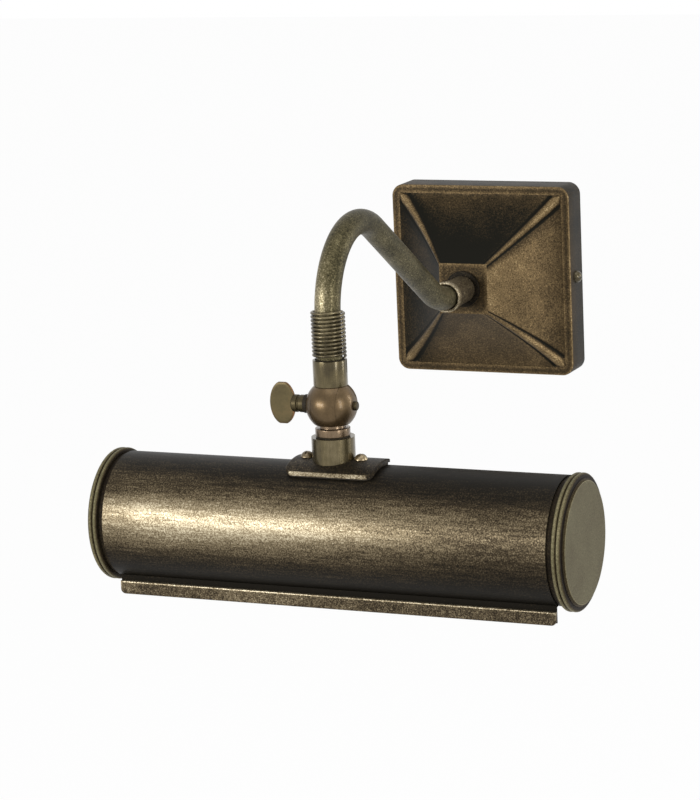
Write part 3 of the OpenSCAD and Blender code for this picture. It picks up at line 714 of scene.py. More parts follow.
def square_ring(half_x: float, half_z: float, corner_r: float, near: Points,
                far: int) -> Points:
    """Rounded square in plan, with points crowded at its corners.

    Along each half side the distance p from the corner's middle takes the values in
    near, and then far even steps to the middle of the side. Up to p = corner_r * pi / 4
    the point is on the corner's arc, at the angle p / corner_r from the diagonal; past
    it the point is on the straight.

    Args:
        half_x: half width.
        half_z: half height.
        corner_r: radius of the corners.
        near: rising distances from a corner's middle, starting at 0.
        far: steps from the last of these to the middle of the side.

    Returns:
        Points (x, z) anticlockwise from the middle of the right side.
    """
    halves = []
    for half in (half_z, half_x):
        total = corner_r * math.pi / 4 + half - corner_r
        p = np.concatenate([near, np.linspace(near[-1], total, far + 1)[1:]])
        arc = np.minimum(p, corner_r * math.pi / 4)
        turn = math.pi / 4 - arc / corner_r
        across = half_z if half == half_x else half_x
        out = across - corner_r + corner_r * np.cos(turn)
        along = half - corner_r + corner_r * np.sin(turn) - (p - arc)
        halves.append((out, along))
    (x_a, z_a), (z_b, x_b) = halves
    quarter = np.stack([np.r_[x_a[::-1], x_b[1:]], np.r_[z_a[::-1], z_b[1:]]], axis=-1)
    left = (quarter * (-1, 1))[::-1]
    low = (quarter * (1, -1))[::-1]
    return np.vstack([quarter[:-1], left[:-1], -quarter[:-1], low[:-1]])


@dataclass
class WallPlate:
    """The square cover that sweeps up to a peak.

    Args:
        finishes: the light's finishes.
        half_w: half width of the cover.
        half_h: half height of the cover.
        side_depth: depth of the side walls.
        peak_depth: depth of the peak's flat.
        corner_r: radius of the upright corners.
        band: width of the raised band.
        groove: width of the groove inside the band.
        peak_half: half width of the peak's flat.
        wall: thickness of the sheet.
        ridge_rise: height of the ridges.
        ridge_half: half width of a ridge at the corner.
        hole_r: radius of the collar's hole.
    """

    finishes: Finishes
    half_w: float = 52
    half_h: float = 52.5
    side_depth: float = 19.5
    peak_depth: float = 48.3
    corner_r: float = 6.5
    band: float = 4.6
    groove: float = 0.7
    peak_half: float = 13.8
    wall: float = 1.2
    ridge_rise: float = 1.1
    ridge_half: float = 3.0
    hole_r: float = 5.75

    def ring(self, inset: float, depth: float, corner_r: float, spread: float = 1.0) -> Points:
        """A ring of the cover, this far inside its outline and from the wall."""
        near = np.linspace(0, 1, 19) ** 1.15 * 11 * spread
        plan = square_ring(self.half_w - inset, self.half_h - inset, corner_r, near, 12)
        return np.insert(plan, 1, -depth, axis=1)

    def swept_rings(self, shares: Points, shrink: float) -> Points:
        """Rings of the swept faces.

        At a share s of the way from the band to the peak, the half size goes evenly from
        the band to the peak's flat, and the depth goes as s to the power 1.35.

        Args:
            shares: shares of the way.
            shrink: how far the rings lie inside the outer faces.

        Returns:
            Grid of points.
        """
        rings = []
        near = np.linspace(0, 1, 19) ** 1.15 * 11
        for s in shares:
            half_x = (self.half_w - self.band) * (1 - s) + self.peak_half * s - shrink
            half_z = (self.half_h - self.band) * (1 - s) + self.peak_half * s - shrink
            depth = self.side_depth + (self.peak_depth - self.side_depth) * s**1.35 - shrink
            plan = square_ring(half_x, half_z, 0.4, near * (1 - 0.66 * s), 12)
            rings.append(np.insert(plan, 1, -depth, axis=1))
        return np.array(rings)

    def ridged(self, rings: Points, shares: Points) -> tuple[Points, Points, Points]:
        """Raises the round ridge on each diagonal, with a fine groove along both its sides.

        With d the distance from the diagonal and k the ridge's half width, the rise is
        ridge_rise * size * sqrt(1 - (d / k)^2) on the ridge, less a bell-shaped groove
        at d = 1.3 k. Size grows from 0 within a short way of the corner, as a quarter
        circle, and thins towards the peak.

        Args:
            rings: the swept rings.
            shares: their shares of the way.

        Returns:
            The raised rings, how much lighter they are (rubbed ridges, and a painted highlight on the
            right-hand faces), and how much darker (patina in the grooves beside the ridges, and painted
            shade on the top and left-hand faces).
        """
        s = shares[:, None]
        x, z = np.abs(rings[..., 0]), np.abs(rings[..., 2])
        run = np.array([self.half_w - self.band - self.peak_half,
                        self.half_h - self.band - self.peak_half])
        d = np.abs((x - self.peak_half) * run[1] - (z - self.peak_half) * run[0])
        d = d / np.linalg.norm(run)
        k = self.ridge_half * (1 - 0.7 * s)
        start = np.clip(s / 0.07, 0, 1)
        blunt = np.sqrt(1 - (1 - start) ** 2)
        size = blunt * (1 - 0.72 * s) * smoothstep((1 - s) / 0.03)
        bead = np.sqrt(np.clip(1 - (d / (k * np.maximum(blunt, 0.05))) ** 2, 0, 1))
        valley = np.exp(-(((d - 1.28 * k) / (0.26 * k)) ** 2)) * smoothstep(s / 0.03)
        rise = self.ridge_rise * size * bead - 0.42 * (1 - 0.5 * s) * valley
        raised = rings.copy()
        raised[..., 1] -= rise
        right = smoothstep((rings[..., 0] / np.maximum(np.maximum(x, z), 1) - 0.6) / 0.4)
        top = smoothstep((rings[..., 2] / np.maximum(np.maximum(x, z), 1) - 0.6) / 0.4)
        left = smoothstep((-rings[..., 0] / np.maximum(np.maximum(x, z), 1) - 0.6) / 0.4)
        # Painted highlight on the right-hand faces and painted shade on the top ones, both stronger towards
        # the peak, and painted shade on the left-hand faces; besides, the ridges are rubbed lighter and the
        # grooves beside them darker.
        rub_and_highlight = 0.4 * bead * size + 0.3 * right * s * (1 - bead)
        grime_and_shade = valley + (0.15 + 0.75 * s) * top * (1 - bead) + 0.4 * left * (1 - bead)
        return raised, rub_and_highlight, grime_and_shade

    def cover(self) -> bpy.types.Object:
        """Builds the cover as one closed sheet: outside to the collar's hole, then inside."""
        inner = self.band + self.groove
        walls = np.array([self.ring(inset, depth, r) for inset, depth, r in (
            (0, 0, self.corner_r), (0, 1.0, self.corner_r), (0, 9.5, self.corner_r),
            (0, self.side_depth - 0.9, self.corner_r),
            (0.12, self.side_depth - 0.42, self.corner_r - 0.1),
            (0.42, self.side_depth - 0.12, self.corner_r - 0.4),
            (0.9, self.side_depth, self.corner_r - 0.9),
            (self.band * 0.5, self.side_depth, self.corner_r * 0.5),
            (self.band - 0.1, self.side_depth, 1.1), (self.band, self.side_depth - 0.1, 1.0),
            (self.band + 0.05, self.side_depth - 0.8, 0.9),
            (inner - 0.05, self.side_depth - 0.8, 0.6))])
        wall_rub = np.array([0, 0, 0, 0.05, 0.3, 0.35, 0.15, 0, 0.2, 0.25, 0, 0])[:, None]
        # Darkening ring by ring: most at the side walls' back edge, less towards the front, a little on the
        # band, and most in the groove inside it.
        wall_dark = np.array([0.5, 0.4, 0.4, 0.3, 0, 0, 0.05, 0.2, 0, 0.3, 1, 1])[:, None]
        shares = np.r_[0, np.linspace(0.002, 0.04, 9), np.linspace(0.05, 0.94, 44),
                       np.linspace(0.95, 1, 6)]
        faces, rub_and_highlight, grime_and_shade = self.ridged(self.swept_rings(shares, 0), shares)
        flat = np.array([self.ring_at(half, self.peak_depth, r) for half, r in (
            (self.peak_half - 0.5, 0.5), (11.5, 2.5), (8.5, 6.0), (self.hole_r, self.hole_r))])
        back = self.peak_depth - self.wall
        flat_back = np.array([self.ring_at(half, back, r) for half, r in (
            (self.hole_r, self.hole_r), (8.5, 6.0), (11.5, 2.5))])
        inside = self.swept_rings(np.linspace(1, 0, 16), self.wall)
        base = self.side_depth - 0.8 - self.wall
        rear = np.array([self.ring(self.band + self.wall, base, 1.0),
                         self.ring(self.wall, base, self.corner_r - self.wall),
                         self.ring(self.wall, 0, self.corner_r - self.wall)])
        points = np.vstack([walls, faces, flat, flat_back, inside, rear])
        columns = points.shape[1]
        full = np.zeros((len(points), columns))
        dark = np.full((len(points), columns), 0.6)
        full[:len(walls)], dark[:len(walls)] = wall_rub, wall_dark
        span = slice(len(walls), len(walls) + len(faces))
        full[span], dark[span] = rub_and_highlight, grime_and_shade
        edge = len(walls) + len(faces)
        full[edge - 1:edge + 1] = 0.3
        dark[edge - 1:edge + 4] = 0.1
        return build("cover", [Sheet(points, full, dark, loop=True)], [self.finishes.plate],
                     "wall_body", ["backplate_cover"])

    def ring_at(self, half: float, depth: float, corner_r: float) -> Points:
        """A square ring of this half size at this depth."""
        near = np.linspace(0, 1, 19) ** 1.15 * 11 * 0.34
        near = near * min(1, 0.95 * corner_r * math.pi / 4 / near[-1] + (half - corner_r) / 8)
        return np.insert(square_ring(half, half, corner_r, near, 12), 1, -depth, axis=1)

    def build(self) -> None:
        """Builds the plate's pieces."""
        self.cover()


# ---------------------------------------------------------------- arm


@dataclass
class Arm:
    """The collar, the bent tube and the coil spring at its end.

    Args:
        finishes: the light's finishes.
        radius: radius of the tube.
        wall: thickness of the tube.
        reach: distance from the wall to the knuckle.
        low_r: radius of the lower bend.
        top_r: radius of the top bend.
        bend_y: distance from the wall to the lower bend.
        top_z: height of the centre line at the top.
        end_z: height of the tube's end.
    """

    finishes: Finishes
    radius: float = 6.48
    wall: float = 1.0
    reach: float = 231.5
    low_r: float = 38
    top_r: float = 40
    bend_y: float = 74
    top_z: float = 59.2
    end_z: float = -8.6

    def centre_line(self) -> Points:
        """Centre line of the tube, in the plane x = 0.

        It runs out from the collar, round the lower bend, along the tangent of both
        bends, over the top bend and straight down. A bend's point at rise a is its centre
        plus radius * (sin a, cos a), less for the lower one, which curves upwards.

        Returns:
            Points about 1.3 mm apart, shape (n, 3).
        """
        low = np.array([-self.bend_y, self.low_r])
        top = np.array([self.top_r - self.reach, self.top_z - self.top_r])
        span = low - top
        rise = math.asin((self.low_r + self.top_r) / np.linalg.norm(span))
        rise -= math.atan2(span[1], span[0])
        a = np.linspace(0, rise, 20)[:, None]
        b = np.linspace(rise, -math.pi / 2, 66)[:, None]
        lower = low + self.low_r * np.hstack([-np.sin(a), -np.cos(a)])
        upper = top + self.top_r * np.hstack([np.sin(b), np.cos(b)])
        start = np.array([[y, 0] for y in np.linspace(-59.6, -self.bend_y, 9)])
        between = lower[-1] + (upper[0] - lower[-1]) * np.linspace(0, 1, 42)[1:-1, None]
        down = np.array([[-self.reach, z] for z in np.linspace(upper[-1, 1], self.end_z, 20)])
        path = np.vstack([start[:-1], lower, between, upper, down[1:]])
        return np.insert(path, 0, 0.0, axis=1)

    def tube(self) -> bpy.types.Object:
        """Builds the tube as one closed sheet: its outside, then its bore."""
        path = self.centre_line()
        size = np.full(len(path), self.radius)
        outside = swept(path, size, 56, (1, 0, 0))
        bore = swept(path, size - self.wall, 56, (1, 0, 0))[::-1]
        # Painted highlight: the down-going leg is lighter on its side that faces front and left, most about
        # 30 mm above the plate's middle.
        lit = ((outside - path[:, None]) / self.radius) @ np.array([-0.55, -0.83, 0])
        leg = np.exp(-(((path[:, 2] - 30) / 20) ** 2)) * (path[:, 1] < -205)
        worn = 0.4 * leg[:, None] * smoothstep(lit)
        rub_and_highlight = np.vstack([worn, np.zeros_like(worn)])
        return build("arm_tube_shape", [Sheet(np.vstack([outside, bore]), rub_and_highlight, loop=True)],
                     [self.finishes.tube], "wall_body", ["arm_tube"])

    def collar(self) -> bpy.types.Object:
        """Builds the collar: a base ring, a flared sleeve and a rounded mouth."""
        outline = np.array([
            (3.6, -41.1), (5.6, -41.1), (5.6, -49.9), (7.35, -49.9), (7.35, -55.9),
            (7.75, -66), (8.1, -71), (8.35, -72.6), (8.35, -74.9), (7.9, -75.5), (7.2, -75.5),
            (7.2, -73.9), (6.55, -73.9), (6.55, -59.6), (3.6, -59.6)])
        soft = fillet(np.vstack([outline[-1:], outline, outline[:1]]), 0.3)
        soft = soft[1:-1]
        rub_and_highlight = 0.35 * np.clip((-soft[:, 1:] - 70.5) / 2.5, 0, 1) * (soft[:, :1] > 7.15)
        grid = turned(soft, 72, Axis.Y, (0, 0, 0))
        return build("collar_shape", [Sheet(grid, rub_and_highlight, loop=True)], [self.finishes.trim],
                     "wall_body", ["arm_collar"])

    def washer(self) -> bpy.types.Object:
        """Builds the washer under the collar."""
        outline = np.array([(5.7, -48.3), (9.9, -48.3), (9.9, -49.9), (5.7, -49.9)])
        soft = fillet(np.vstack([outline[-1:], outline, outline[:1]]), 0.35)[1:-1]
        grid = turned(soft, 72, Axis.Y, (0, 0, 0))
        return build("collar_washer_shape", [Sheet(grid, 0.0, 0.55, loop=True)],
                     [self.finishes.trim], "wall_body", ["collar_washer"])

    def spring(self) -> bpy.types.Object:
        """Builds the coil spring: a helix of twelve turns, whose wire thins at both ends."""
        turn = np.linspace(0, 12, 12 * 48 + 1)
        a = 2 * np.pi * turn
        rise = -1.15 + 23 / 12 * turn
        path = np.stack([7.85 * np.cos(a), 7.85 * np.sin(a) - self.reach, rise], axis=-1)
        ends = np.minimum(turn, 12 - turn)
        wire = 0.75 * (0.55 + 0.45 * smoothstep(ends / 0.05))
        return build("spring_shape", [Sheet(swept(path, wire, 12, (0, 0, 1)))],
                     [self.finishes.spring], "wall_body", ["coil_spring"])

    def build(self) -> None:
        """Builds the arm's pieces."""
        self.tube()
        self.collar()
        self.washer()
        self.spring()


# ---------------------------------------------------------------- knuckle


@dataclass
class Knuckle:
    """The ball joint, its thumb screw and the saddle that carries the shade.

    Args:
        finishes: the light's finishes.
        axis: the middle of the ball.
        ball_r: radius of the ball.
        ball_cut: depth of the flat cut below the ball's middle.
    """

    finishes: Finishes
    axis: tuple[float, float, float] = (0, -231.5, -25.6)
    ball_r: float = 12.95
    ball_cut: float = 9.4

    def ball_slice(self, x: Points) -> Points:
        """Part of the ball across the knuckle, cut flat below.

        The ring at x has the radius sqrt(R^2 - x^2), and no point lies more than
        the cut's depth below the ball's middle.

        Args:
            x: places of the rings along the knuckle's axis.

        Returns:
            Grid of points.
        """
        a = np.linspace(0, 2 * np.pi, 96, endpoint=False)
        size = np.sqrt(self.ball_r**2 - x**2)[:, None]
        z = np.maximum(size * np.sin(a), -self.ball_cut)
        grid = np.stack([np.repeat(x[:, None], len(a), 1), size * np.cos(a), z], -1)
        return grid + np.array(self.axis)

    def fork(self) -> bpy.types.Object:
        """Builds the sleeve, whose lower end is hollowed to the ball, and both ears."""
        r = np.linspace(8.3, 3.1, 12)
        seat = self.axis[2] + np.sqrt(13.05**2 - r**2)
        outline = np.vstack([
            [(7.25, -9), (7.25, -2.7), (7.45, -2.5), (8.25, -2.5), (8.5, -2.62), (8.55, -2.9),
             (8.55, -15.2), (8.5, -15.45)], np.stack([r, seat], -1), [(3.05, -9)]])
        sheets = [Sheet(turned(outline, 96, Axis.Z, (0, self.axis[1], 0)), loop=True)]
        x = np.r_[6.6, 6.66, np.linspace(6.9, 12.0, 18), 12.18]
        for side in (-1, 1):
            sheets.append(Sheet(self.ball_slice(side * x), finish=1))
        return build("fork_shape", sheets, [self.finishes.sleeve, self.finishes.ball],
                     "swivel", ["knuckle_fork"])

    def tongue(self) -> bpy.types.Object:
        """Builds the middle of the ball, its neck and ring, and the stem."""
        outline = fillet(np.array([
            (0.3, -32), (6.4, -32), (6.4, -36.9), (8.75, -36.9), (8.75, -40.8), (5, -40.8),
            (5, -64.6), (0.3, -64.6)]), 0.35)
        x = np.r_[-6.5, np.linspace(-6.4, 6.4, 25), 6.5]
        sheets = [Sheet(self.ball_slice(x)),
                  Sheet(turned(outline, 96, Axis.Z, (0, self.axis[1], 0)), finish=1)]
        return build("tongue_shape", sheets, [self.finishes.ball, self.finishes.ring],
                     "head", ["knuckle_tongue"])

    def thumb_screw(self) -> bpy.types.Object:
        """Builds the screw: a grooved boss, a shank and a flat wing with a soft rim.

        The wing is an ellipse with its top and bottom cut flat.

        Returns:
            The screw.
        """
        boss = fillet(np.array([
            (0.2, -20.9), (3.6, -20.9), (4.4, -20.2), (4.4, -17.9), (3.8, -17.6), (3.8, -17.0),
            (4.4, -16.7), (4.4, -13.98), (2.3, -13.98), (2.3, 13.6), (1.9, 14.0),
            (0.2, 14.0)]), 0.3)
        a = np.linspace(0, 2 * np.pi, 120, endpoint=False)
        x = 6.9 * np.cos(a)
        z = np.clip(10.95 * np.sin(a), -10.5, 10.5)
        rim = np.array([(1.2, -1), (0.55, -1), (0.16, -0.84), (0, -0.45), (0, 0.45),
                        (0.16, 0.84), (0.55, 1), (1.2, 1)])
        size = 1 - rim[:, :1] / 8
        wing = np.stack([x * size - 26.4, np.repeat(rim[:, 1:], len(a), 1), z * size], -1)
        middle = np.array(self.axis)
        rub_and_highlight = np.array([0, 0.2, 0.8, 1, 1, 0.8, 0.2, 0])[:, None]
        sheets = [Sheet(turned(boss, 48, Axis.X, middle), 0.0, 0.35), Sheet(wing + middle, rub_and_highlight)]
        return build("thumb_screw_shape", sheets, [self.finishes.wing], "thumb",
                     ["thumb_screw"])

    def saddle(self) -> bpy.types.Object:
        """Builds the plate that is rolled to the barrel, with round corners in plan.

        A row at the plan distance v from the plate's middle has the half length
        24 - (5 - sqrt(25 - (|v| - 8.75)^2)) past |v| = 8.75. Its height is
        sqrt(R^2 - y^2) at the distance y from the barrel's axis, for the outside's R and
        for the inside's.

        Returns:
            The plate.
        """
        v = 13.75 * np.sin(np.linspace(-np.pi / 2, np.pi / 2, 61))
        past = np.clip(np.abs(v) - 8.75, 0, 5)
        half = 24 - (5 - np.sqrt(25 - past**2))
        y = v - 2.75
        along = np.sin(np.linspace(-np.pi / 2, np.pi / 2, 33))
        outer = np.sqrt(35.3**2 - y**2)
        inner = np.sqrt(33.6**2 - y**2)
        soft = 0.3 * smoothstep((np.abs(along) - 0.985) / 0.015)
        places = np.broadcast_to(y[:, None], (61, 33))
        top = np.stack([half[:, None] * along, places, outer[:, None] - soft], -1)
        low = np.stack([half[:, None] * along, places,
                        np.broadcast_to(inner[:, None], (61, 33))], -1)[:, ::-1]
        grid = np.concatenate([top, low], axis=1) + (3.1, -231.5, -87.8)
        rub_and_highlight = np.clip((-y - 15.9) / 0.5, 0, 1)[:, None] * 0.7
        return build("saddle_plate_shape", [Sheet(grid, rub_and_highlight, 0.35)], [self.finishes.trim],
                     "head", ["saddle_plate"])

    def build(self) -> None:
        """Builds the knuckle's pieces."""
        self.fork()
        self.tongue()
        self.thumb_screw()
        self.saddle()


# ---------------------------------------------------------------- shade


@dataclass
class Shade:
    """The barrel with its open mouth, the lip strip along its front and two end caps.

    Args:
        finishes: the light's finishes.
        middle: the middle of the barrel's axis.
        radius: outer radius of the barrel.
        wall: thickness of its sheet.
        half: half length of the barrel.
        front: angle of the mouth's front edge, in degrees from the wall's side over the top.
        back: angle of the mouth's back edge.
        flange_z: height of the flange's lower edge below the axis.
    """

    finishes: Finishes
    middle: tuple[float, float, float] = (3.1, -231.5, -87.8)
    radius: float = 32.3
    wall: float = 0.9
    half: float = 118.3
    front: float = 240
    back: float = 340
    flange_z: float = -36.67

    def shell(self) -> bpy.types.Object:
        """Builds the barrel and the flange under its front edge as one rolled sheet.

        Rows follow the section: round the barrel at angle f, at (R cos f, R sin f) for
        the outside's R and the inside's, then straight down along the flange. Columns go
        along the outside and back along the inside.

        Returns:
            The shell.
        """
        f = np.radians(np.linspace(self.back - 360, self.front, 150))
        outer_r, inner_r = self.radius, self.radius - self.wall
        front_y, back_y = -16.1, -15.2
        f_in = f.copy()
        f_in[-1] = 2 * np.pi - math.acos(back_y / inner_r)
        drop = np.linspace(0, 1, 9)[1:, None]
        outer = np.stack([outer_r * np.cos(f), outer_r * np.sin(f)], -1)
        inner = np.stack([inner_r * np.cos(f_in), inner_r * np.sin(f_in)], -1)
        outer[-1, 0] = front_y
        ends = np.array([front_y, self.flange_z]), np.array([back_y, self.flange_z])
        outer = np.vstack([outer, outer[-1] + (ends[0] - outer[-1]) * drop])
        inner = np.vstack([inner, inner[-1] + (ends[1] - inner[-1]) * drop])
        half = np.r_[np.full(len(f), self.half), np.full(8, 117.5)][:, None]
        along = np.sin(np.linspace(-np.pi / 2, np.pi / 2, 41))[None, :] * half
        rows, cols = along.shape
        sides = [np.stack([along, np.repeat(s[:, :1], cols, 1), np.repeat(s[:, 1:], cols, 1)], -1)
                 for s in (outer, inner)]
        grid = np.concatenate([sides[0], sides[1][:, ::-1]], axis=1) + np.array(self.middle)
        level = np.degrees(np.r_[f, np.full(8, f[-1])])
        x = np.hstack([along, along[:, ::-1]])
        # Painted highlight: a broad pale band along the front of the barrel at 166 degrees, a little above
        # the middle of its height, brightest left of the middle and fading to the right and at the left
        # end.
        highlight_fade = 1 - 0.55 * smoothstep((x + 20) / 120) - 0.3 * smoothstep((-90 - x) / 28)
        band = np.exp(-(((level - 166) / 27) ** 2))[:, None]
        rub_and_highlight = 0.8 * band * highlight_fade
        # Painted shade: darker the further round from that band, at the top, the back and the bottom.
        dark = 0.4 * smoothstep((np.abs(level - 166) - 25) / 50)[:, None]
        inside = np.r_[np.zeros(cols), np.ones(cols - 1), 0]
        return build("shade_barrel", [Sheet(grid, rub_and_highlight, dark, finish=inside)],
                     [self.finishes.barrel, self.finishes.inside], "head",
                     ["shade_shell"])

    def lip(self) -> bpy.types.Object:
        """Builds the strip along the front edge, with round lower corners and soft edges."""
        half, high, low, r = 117.5, -30.97, -37.67, 2.5
        a = np.radians(np.linspace(180, 270, 12))
        corner = np.stack([-half + r + r * np.cos(a), low + r + r * np.sin(a)], -1)
        other = corner[::-1] * (-1, 1)
        along = np.linspace(-half, half, 60)[::-1]
        top = np.stack([along, np.full(60, high)], -1)
        base = np.stack([np.linspace(corner[-1, 0], other[0, 0], 60)[1:-1],
                         np.full(58, low)], -1)
        outline = np.vstack([corner, base, other, top])
        centre = np.array([0, (high + low) / 2])
        rim = np.array([(0, -16.1), (0, -17.45), (0.13, -17.77), (0.42, -17.9), (0.9, -17.9)])
        shrink = 1 - rim[:, :1, None] / np.array([half, 3.35])
        plan = centre + (outline - centre)[None] * shrink
        grid = np.stack([plan[..., 0], np.repeat(rim[:, 1:], len(outline), 1), plan[..., 1]], -1)
        # Painted highlight along the top edge of the strip.
        rub_and_highlight = np.where(plan[..., 1] > high - 0.5, 0.45, 0.0)
        return build("shade_lip_shape", [Sheet(grid + np.array(self.middle), rub_and_highlight)],
                     [self.finishes.trim], "head", ["shade_lip"])

    def end_cap(self, side: int) -> bpy.types.Object:
        """Builds one end cap: a spigot, a ring with two beads, a step and a flat disc.

        Args:
            side: 1 for the right end, and -1 for the left.

        Returns:
            The cap.
        """
        a = np.radians(np.linspace(-80, 80, 13))
        beads = [np.stack([32.65 + 1.15 * np.cos(a), x + 1.15 * np.sin(a)], -1)
                 for x in (122.4, 124.8)]
        inner = [(0.5, 125.0), (30.0, 125.0), (30.4, 125.0), (30.4, 112.3), (31.35, 112.3), (31.35, 120.98),
                 (32.75, 121.0), (32.95, 121.15)]
        outer = [(32.9, 126.0), (31.4, 126.05), (31.2, 126.5), (30.35, 126.5), (30.2, 127.3),
                 (30.0, 127.47), (29.7, 127.5), (29.2, 127.5), (0.5, 127.5)]
        profile = np.vstack([inner, beads[0], beads[1], outer])
        rub_and_highlight = np.zeros((len(profile), 1))
        crest = slice(8, 8 + 26)
        rub_and_highlight[crest, 0] = np.clip((profile[crest, 0] - 33.4) / 0.35, 0, 1) * 0.45
        rub_and_highlight[-6:-3] = 0.35
        grime_and_shade = np.where(profile[:, :1] < 33.1, 0.6, 0.25)
        grime_and_shade[-8] = 0.9
        grime_and_shade[-4:] = 0.0
        grid = turned(profile, 128, Axis.X, (0, 0, 0)) * (side, 1, 1)
        name = "right" if side > 0 else "left"
        return build(f"end_cap_{name}_shape", [Sheet(grid + np.array(self.middle), rub_and_highlight, grime_and_shade)],
                     [self.finishes.cap], "head", [f"end_cap_{name}"])

    def build(self) -> None:
        """Builds the shade's pieces."""
        self.shell()
        self.lip()
        for side in (-1, 1):
            self.end_cap(side)


# ---------------------------------------------------------------- carried-over parts


def dress_frame(frame: dict, finishes: Finishes) -> None:
    """Gives each CAD part that stays visible its finish.

    Args:
        finishes: the light's finishes.
    """
    wears = {
        "wall_bracket": "zinc_steel", "cable_grommet": "rubber",
        "terminal_block": "white_plastic", "terminal_screws": "screw_brass",
        "earth_screw": "screw_brass", "collar_lock_washer": "zinc_steel",
        "collar_locknut": "zinc_steel", "arm_end_ferrule": "olive_brass",
        "arm_lead": "lead_sheath", "swivel_bush": "dark_fibre", "thumb_washer": "dark_fibre",
        "ring_washer": "dark_fibre", "saddle_pad": "dark_fibre", "saddle_nuts": "zinc_steel",
        "saddle_screws": "screw_brass", "stem_washer": "zinc_steel", "stem_nut": "zinc_steel",
        "holder_bracket_left": "zinc_steel", "holder_bracket_right": "zinc_steel",
        "lampholder_left": "porcelain", "lampholder_right": "porcelain",
        "holder_sleeves": "contact_brass", "holder_contacts": "contact_brass",
        "holder_screws": "zinc_steel", "head_leads": "lead_sheath",
        "lamp_glass_left": "lamp_glass", "lamp_glass_right": "lamp_glass",
        "lamp_cap_left": "lamp_cap_metal", "lamp_cap_right": "lamp_cap_metal",
        "lamp_filament_left": "filament", "lamp_filament_right": "filament",
    }
    special = {"stem_collar": finishes.sleeve, "cover_side_screws": finishes.spring}
    for name, piece in frame["nodes"].items():
        finish = special.get(name) or finishes.slots.get(wears.get(name, ""))
        if finish is None:
            continue
        piece.data.materials.clear()
        piece.data.materials.append(finish)
        LOG.info("%s wears %s", name, finish.name)


# ---------------------------------------------------------------- studio


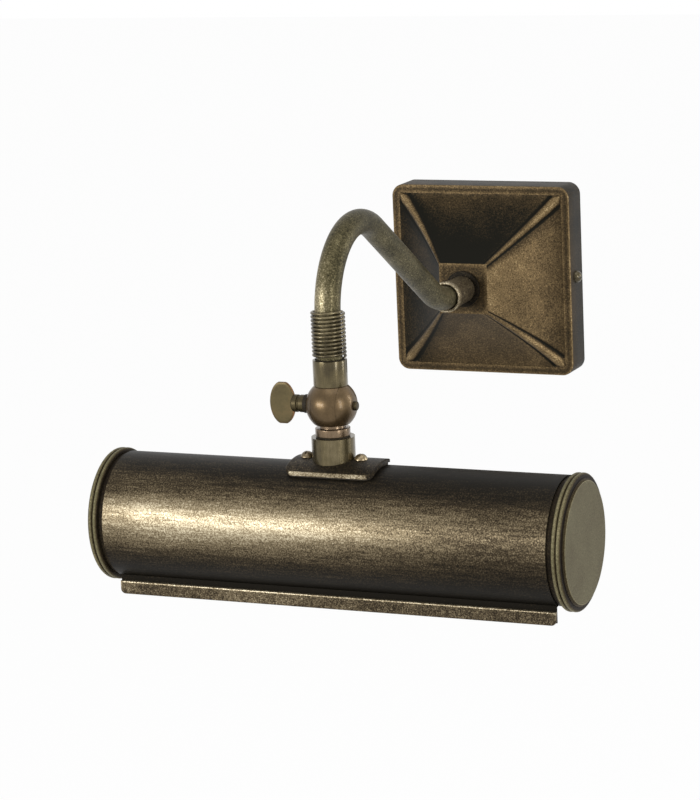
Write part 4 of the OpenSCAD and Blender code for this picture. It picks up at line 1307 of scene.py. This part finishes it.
@dataclass
class Studio:
    """Pale floor, soft lamps, plain world and the camera.

    Args:
        eye: where the camera stands, in metres.
        right: the camera's right-hand direction.
        up: the camera's upward direction.
        back: the direction from the subject to the camera.
        lens: focal length on a 36 mm sensor.
    """

    eye: Colour = (0.60942, -1.59834, 0.29423)
    azimuth: float = 23.68
    elevation: float = 11.99
    roll: float = -2.52
    lens: float = 139.25

    def camera(self) -> bpy.types.Object:
        """Sets up the camera."""
        a, e, t = (math.radians(v) for v in (self.azimuth, self.elevation, self.roll))
        back = Vector((math.sin(a) * math.cos(e), -math.cos(a) * math.cos(e), math.sin(e)))
        level = Vector((math.cos(a), math.sin(a), 0))
        upright = back.cross(level)
        right = math.cos(t) * level + math.sin(t) * upright
        up = math.cos(t) * upright - math.sin(t) * level
        data = bpy.data.cameras.new("camera")
        data.lens = self.lens
        data.sensor_width = 36
        data.clip_start = 0.02
        piece = bpy.data.objects.new("camera", data)
        turn = Matrix((right, up, back)).transposed().to_4x4()
        piece.matrix_world = Matrix.Translation(self.eye) @ turn
        bpy.context.scene.collection.objects.link(piece)
        bpy.context.scene.camera = piece
        return piece

    def lamp(self, name: str, place: Colour, aim: Colour, size: tuple[float, float],
             watts: float) -> None:
        """Adds a soft rectangular lamp.

        Args:
            name: the lamp's name.
            place: where it hangs, in metres.
            aim: the point that it faces.
            size: its width and height, in metres.
            watts: its power.
        """
        data = bpy.data.lights.new(name, "AREA")
        data.shape = "RECTANGLE"
        data.size, data.size_y = size
        data.energy = watts
        piece = bpy.data.objects.new(name, data)
        piece.location = place
        heading = Vector(aim) - Vector(place)
        piece.rotation_euler = heading.to_track_quat("-Z", "Y").to_euler()
        bpy.context.scene.collection.objects.link(piece)

    def seen_share(self, tree: bpy.types.NodeTree) -> bpy.types.NodeSocket:
        """1 for rays that show the background, straight, by reflection or through glass."""
        path = tree.nodes.new("ShaderNodeLightPath")
        total = path.outputs["Is Camera Ray"]
        for label in ("Is Glossy Ray", "Is Transmission Ray"):
            both = tree.nodes.new("ShaderNodeMath")
            both.operation = "MAXIMUM"
            tree.links.new(total, both.inputs[0])
            tree.links.new(path.outputs[label], both.inputs[1])
            total = both.outputs[0]
        return total

    def world(self, ambient: float = 0.5) -> None:
        """Plain world: white where it is seen, and softer as a light."""
        world = bpy.data.worlds.new("studio_world")
        world.use_nodes = True
        bpy.context.scene.world = world
        tree = world.node_tree
        ground = tree.nodes["Background"]
        ground.inputs["Color"].default_value = (1, 1, 1, 1)
        span = tree.nodes.new("ShaderNodeMapRange")
        span.inputs["To Min"].default_value = ambient
        span.inputs["To Max"].default_value = 1.0
        tree.links.new(self.seen_share(tree), span.inputs["Value"])
        tree.links.new(span.outputs["Result"], ground.inputs["Strength"])

    def floor(self) -> None:
        """Pale floor that shows white and keeps a faint shadow."""
        material = bpy.data.materials.new("studio_floor")
        material.use_nodes = True
        tree = material.node_tree
        shader = tree.nodes["Principled BSDF"]
        shader.inputs["Base Color"].default_value = (0.86, 0.86, 0.86, 1)
        shader.inputs["Roughness"].default_value = 0.9
        glow = tree.nodes.new("ShaderNodeEmission")
        glow.inputs["Color"].default_value = (1, 1, 1, 1)
        share = tree.nodes.new("ShaderNodeMath")
        share.operation = "MULTIPLY"
        share.inputs[1].default_value = 0.96
        mix = tree.nodes.new("ShaderNodeMixShader")
        tree.links.new(self.seen_share(tree), share.inputs[0])
        tree.links.new(share.outputs[0], mix.inputs["Fac"])
        tree.links.new(shader.outputs["BSDF"], mix.inputs[1])
        tree.links.new(glow.outputs["Emission"], mix.inputs[2])
        output = tree.nodes["Material Output"]
        tree.links.new(mix.outputs["Shader"], output.inputs["Surface"])
        mesh = bpy.data.meshes.new("studio_floor")
        mesh.from_pydata([(-6, -6, -0.42), (6, -6, -0.42), (6, 6, -0.42), (-6, 6, -0.42)], [],
                         [(0, 1, 2, 3)])
        mesh.materials.append(material)
        piece = bpy.data.objects.new("studio_floor", mesh)
        bpy.context.scene.collection.objects.link(piece)
        piece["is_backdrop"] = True

    def build(self) -> None:
        """Sets up the studio."""
        bpy.context.scene.view_settings.view_transform = "Standard"
        self.camera()
        self.world()
        self.floor()
        middle = (0, -0.2, -0.05)
        self.lamp("key_lamp", (-0.75, -1.5, 0.2), middle, (0.8, 0.3), 11)
        self.lamp("top_lamp", (0.2, -0.5, 1.3), middle, (1.2, 0.8), 4)
        self.lamp("side_lamp", (1.4, -0.9, 0.25), middle, (0.3, 0.9), 9)
        self.lamp("rim_lamp", (1.25, 0.5, 0.2), middle, (0.15, 0.9), 5)


def write_size(when: str, sizes: dict) -> None:
    """Args:
        when: the box's label.
        sizes: the boxes so far.
    """
    low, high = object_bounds()
    sizes[when] = [list(map(float, low)), list(map(float, high))]


def main() -> None:
    """Builds the light and its studio, and notes the scene's bounds before and after."""
    logging.basicConfig(level=logging.INFO, format="%(name)s: %(message)s")
    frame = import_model()
    sizes: dict = {}
    write_size("cad", sizes)
    finishes = Finishes()
    dress_frame(frame, finishes)
    for part in (WallPlate(finishes), Arm(finishes), Knuckle(finishes), Shade(finishes)):
        part.build()
    Studio().build()
    write_size("final", sizes)


if __name__ == "__main__":
    main()
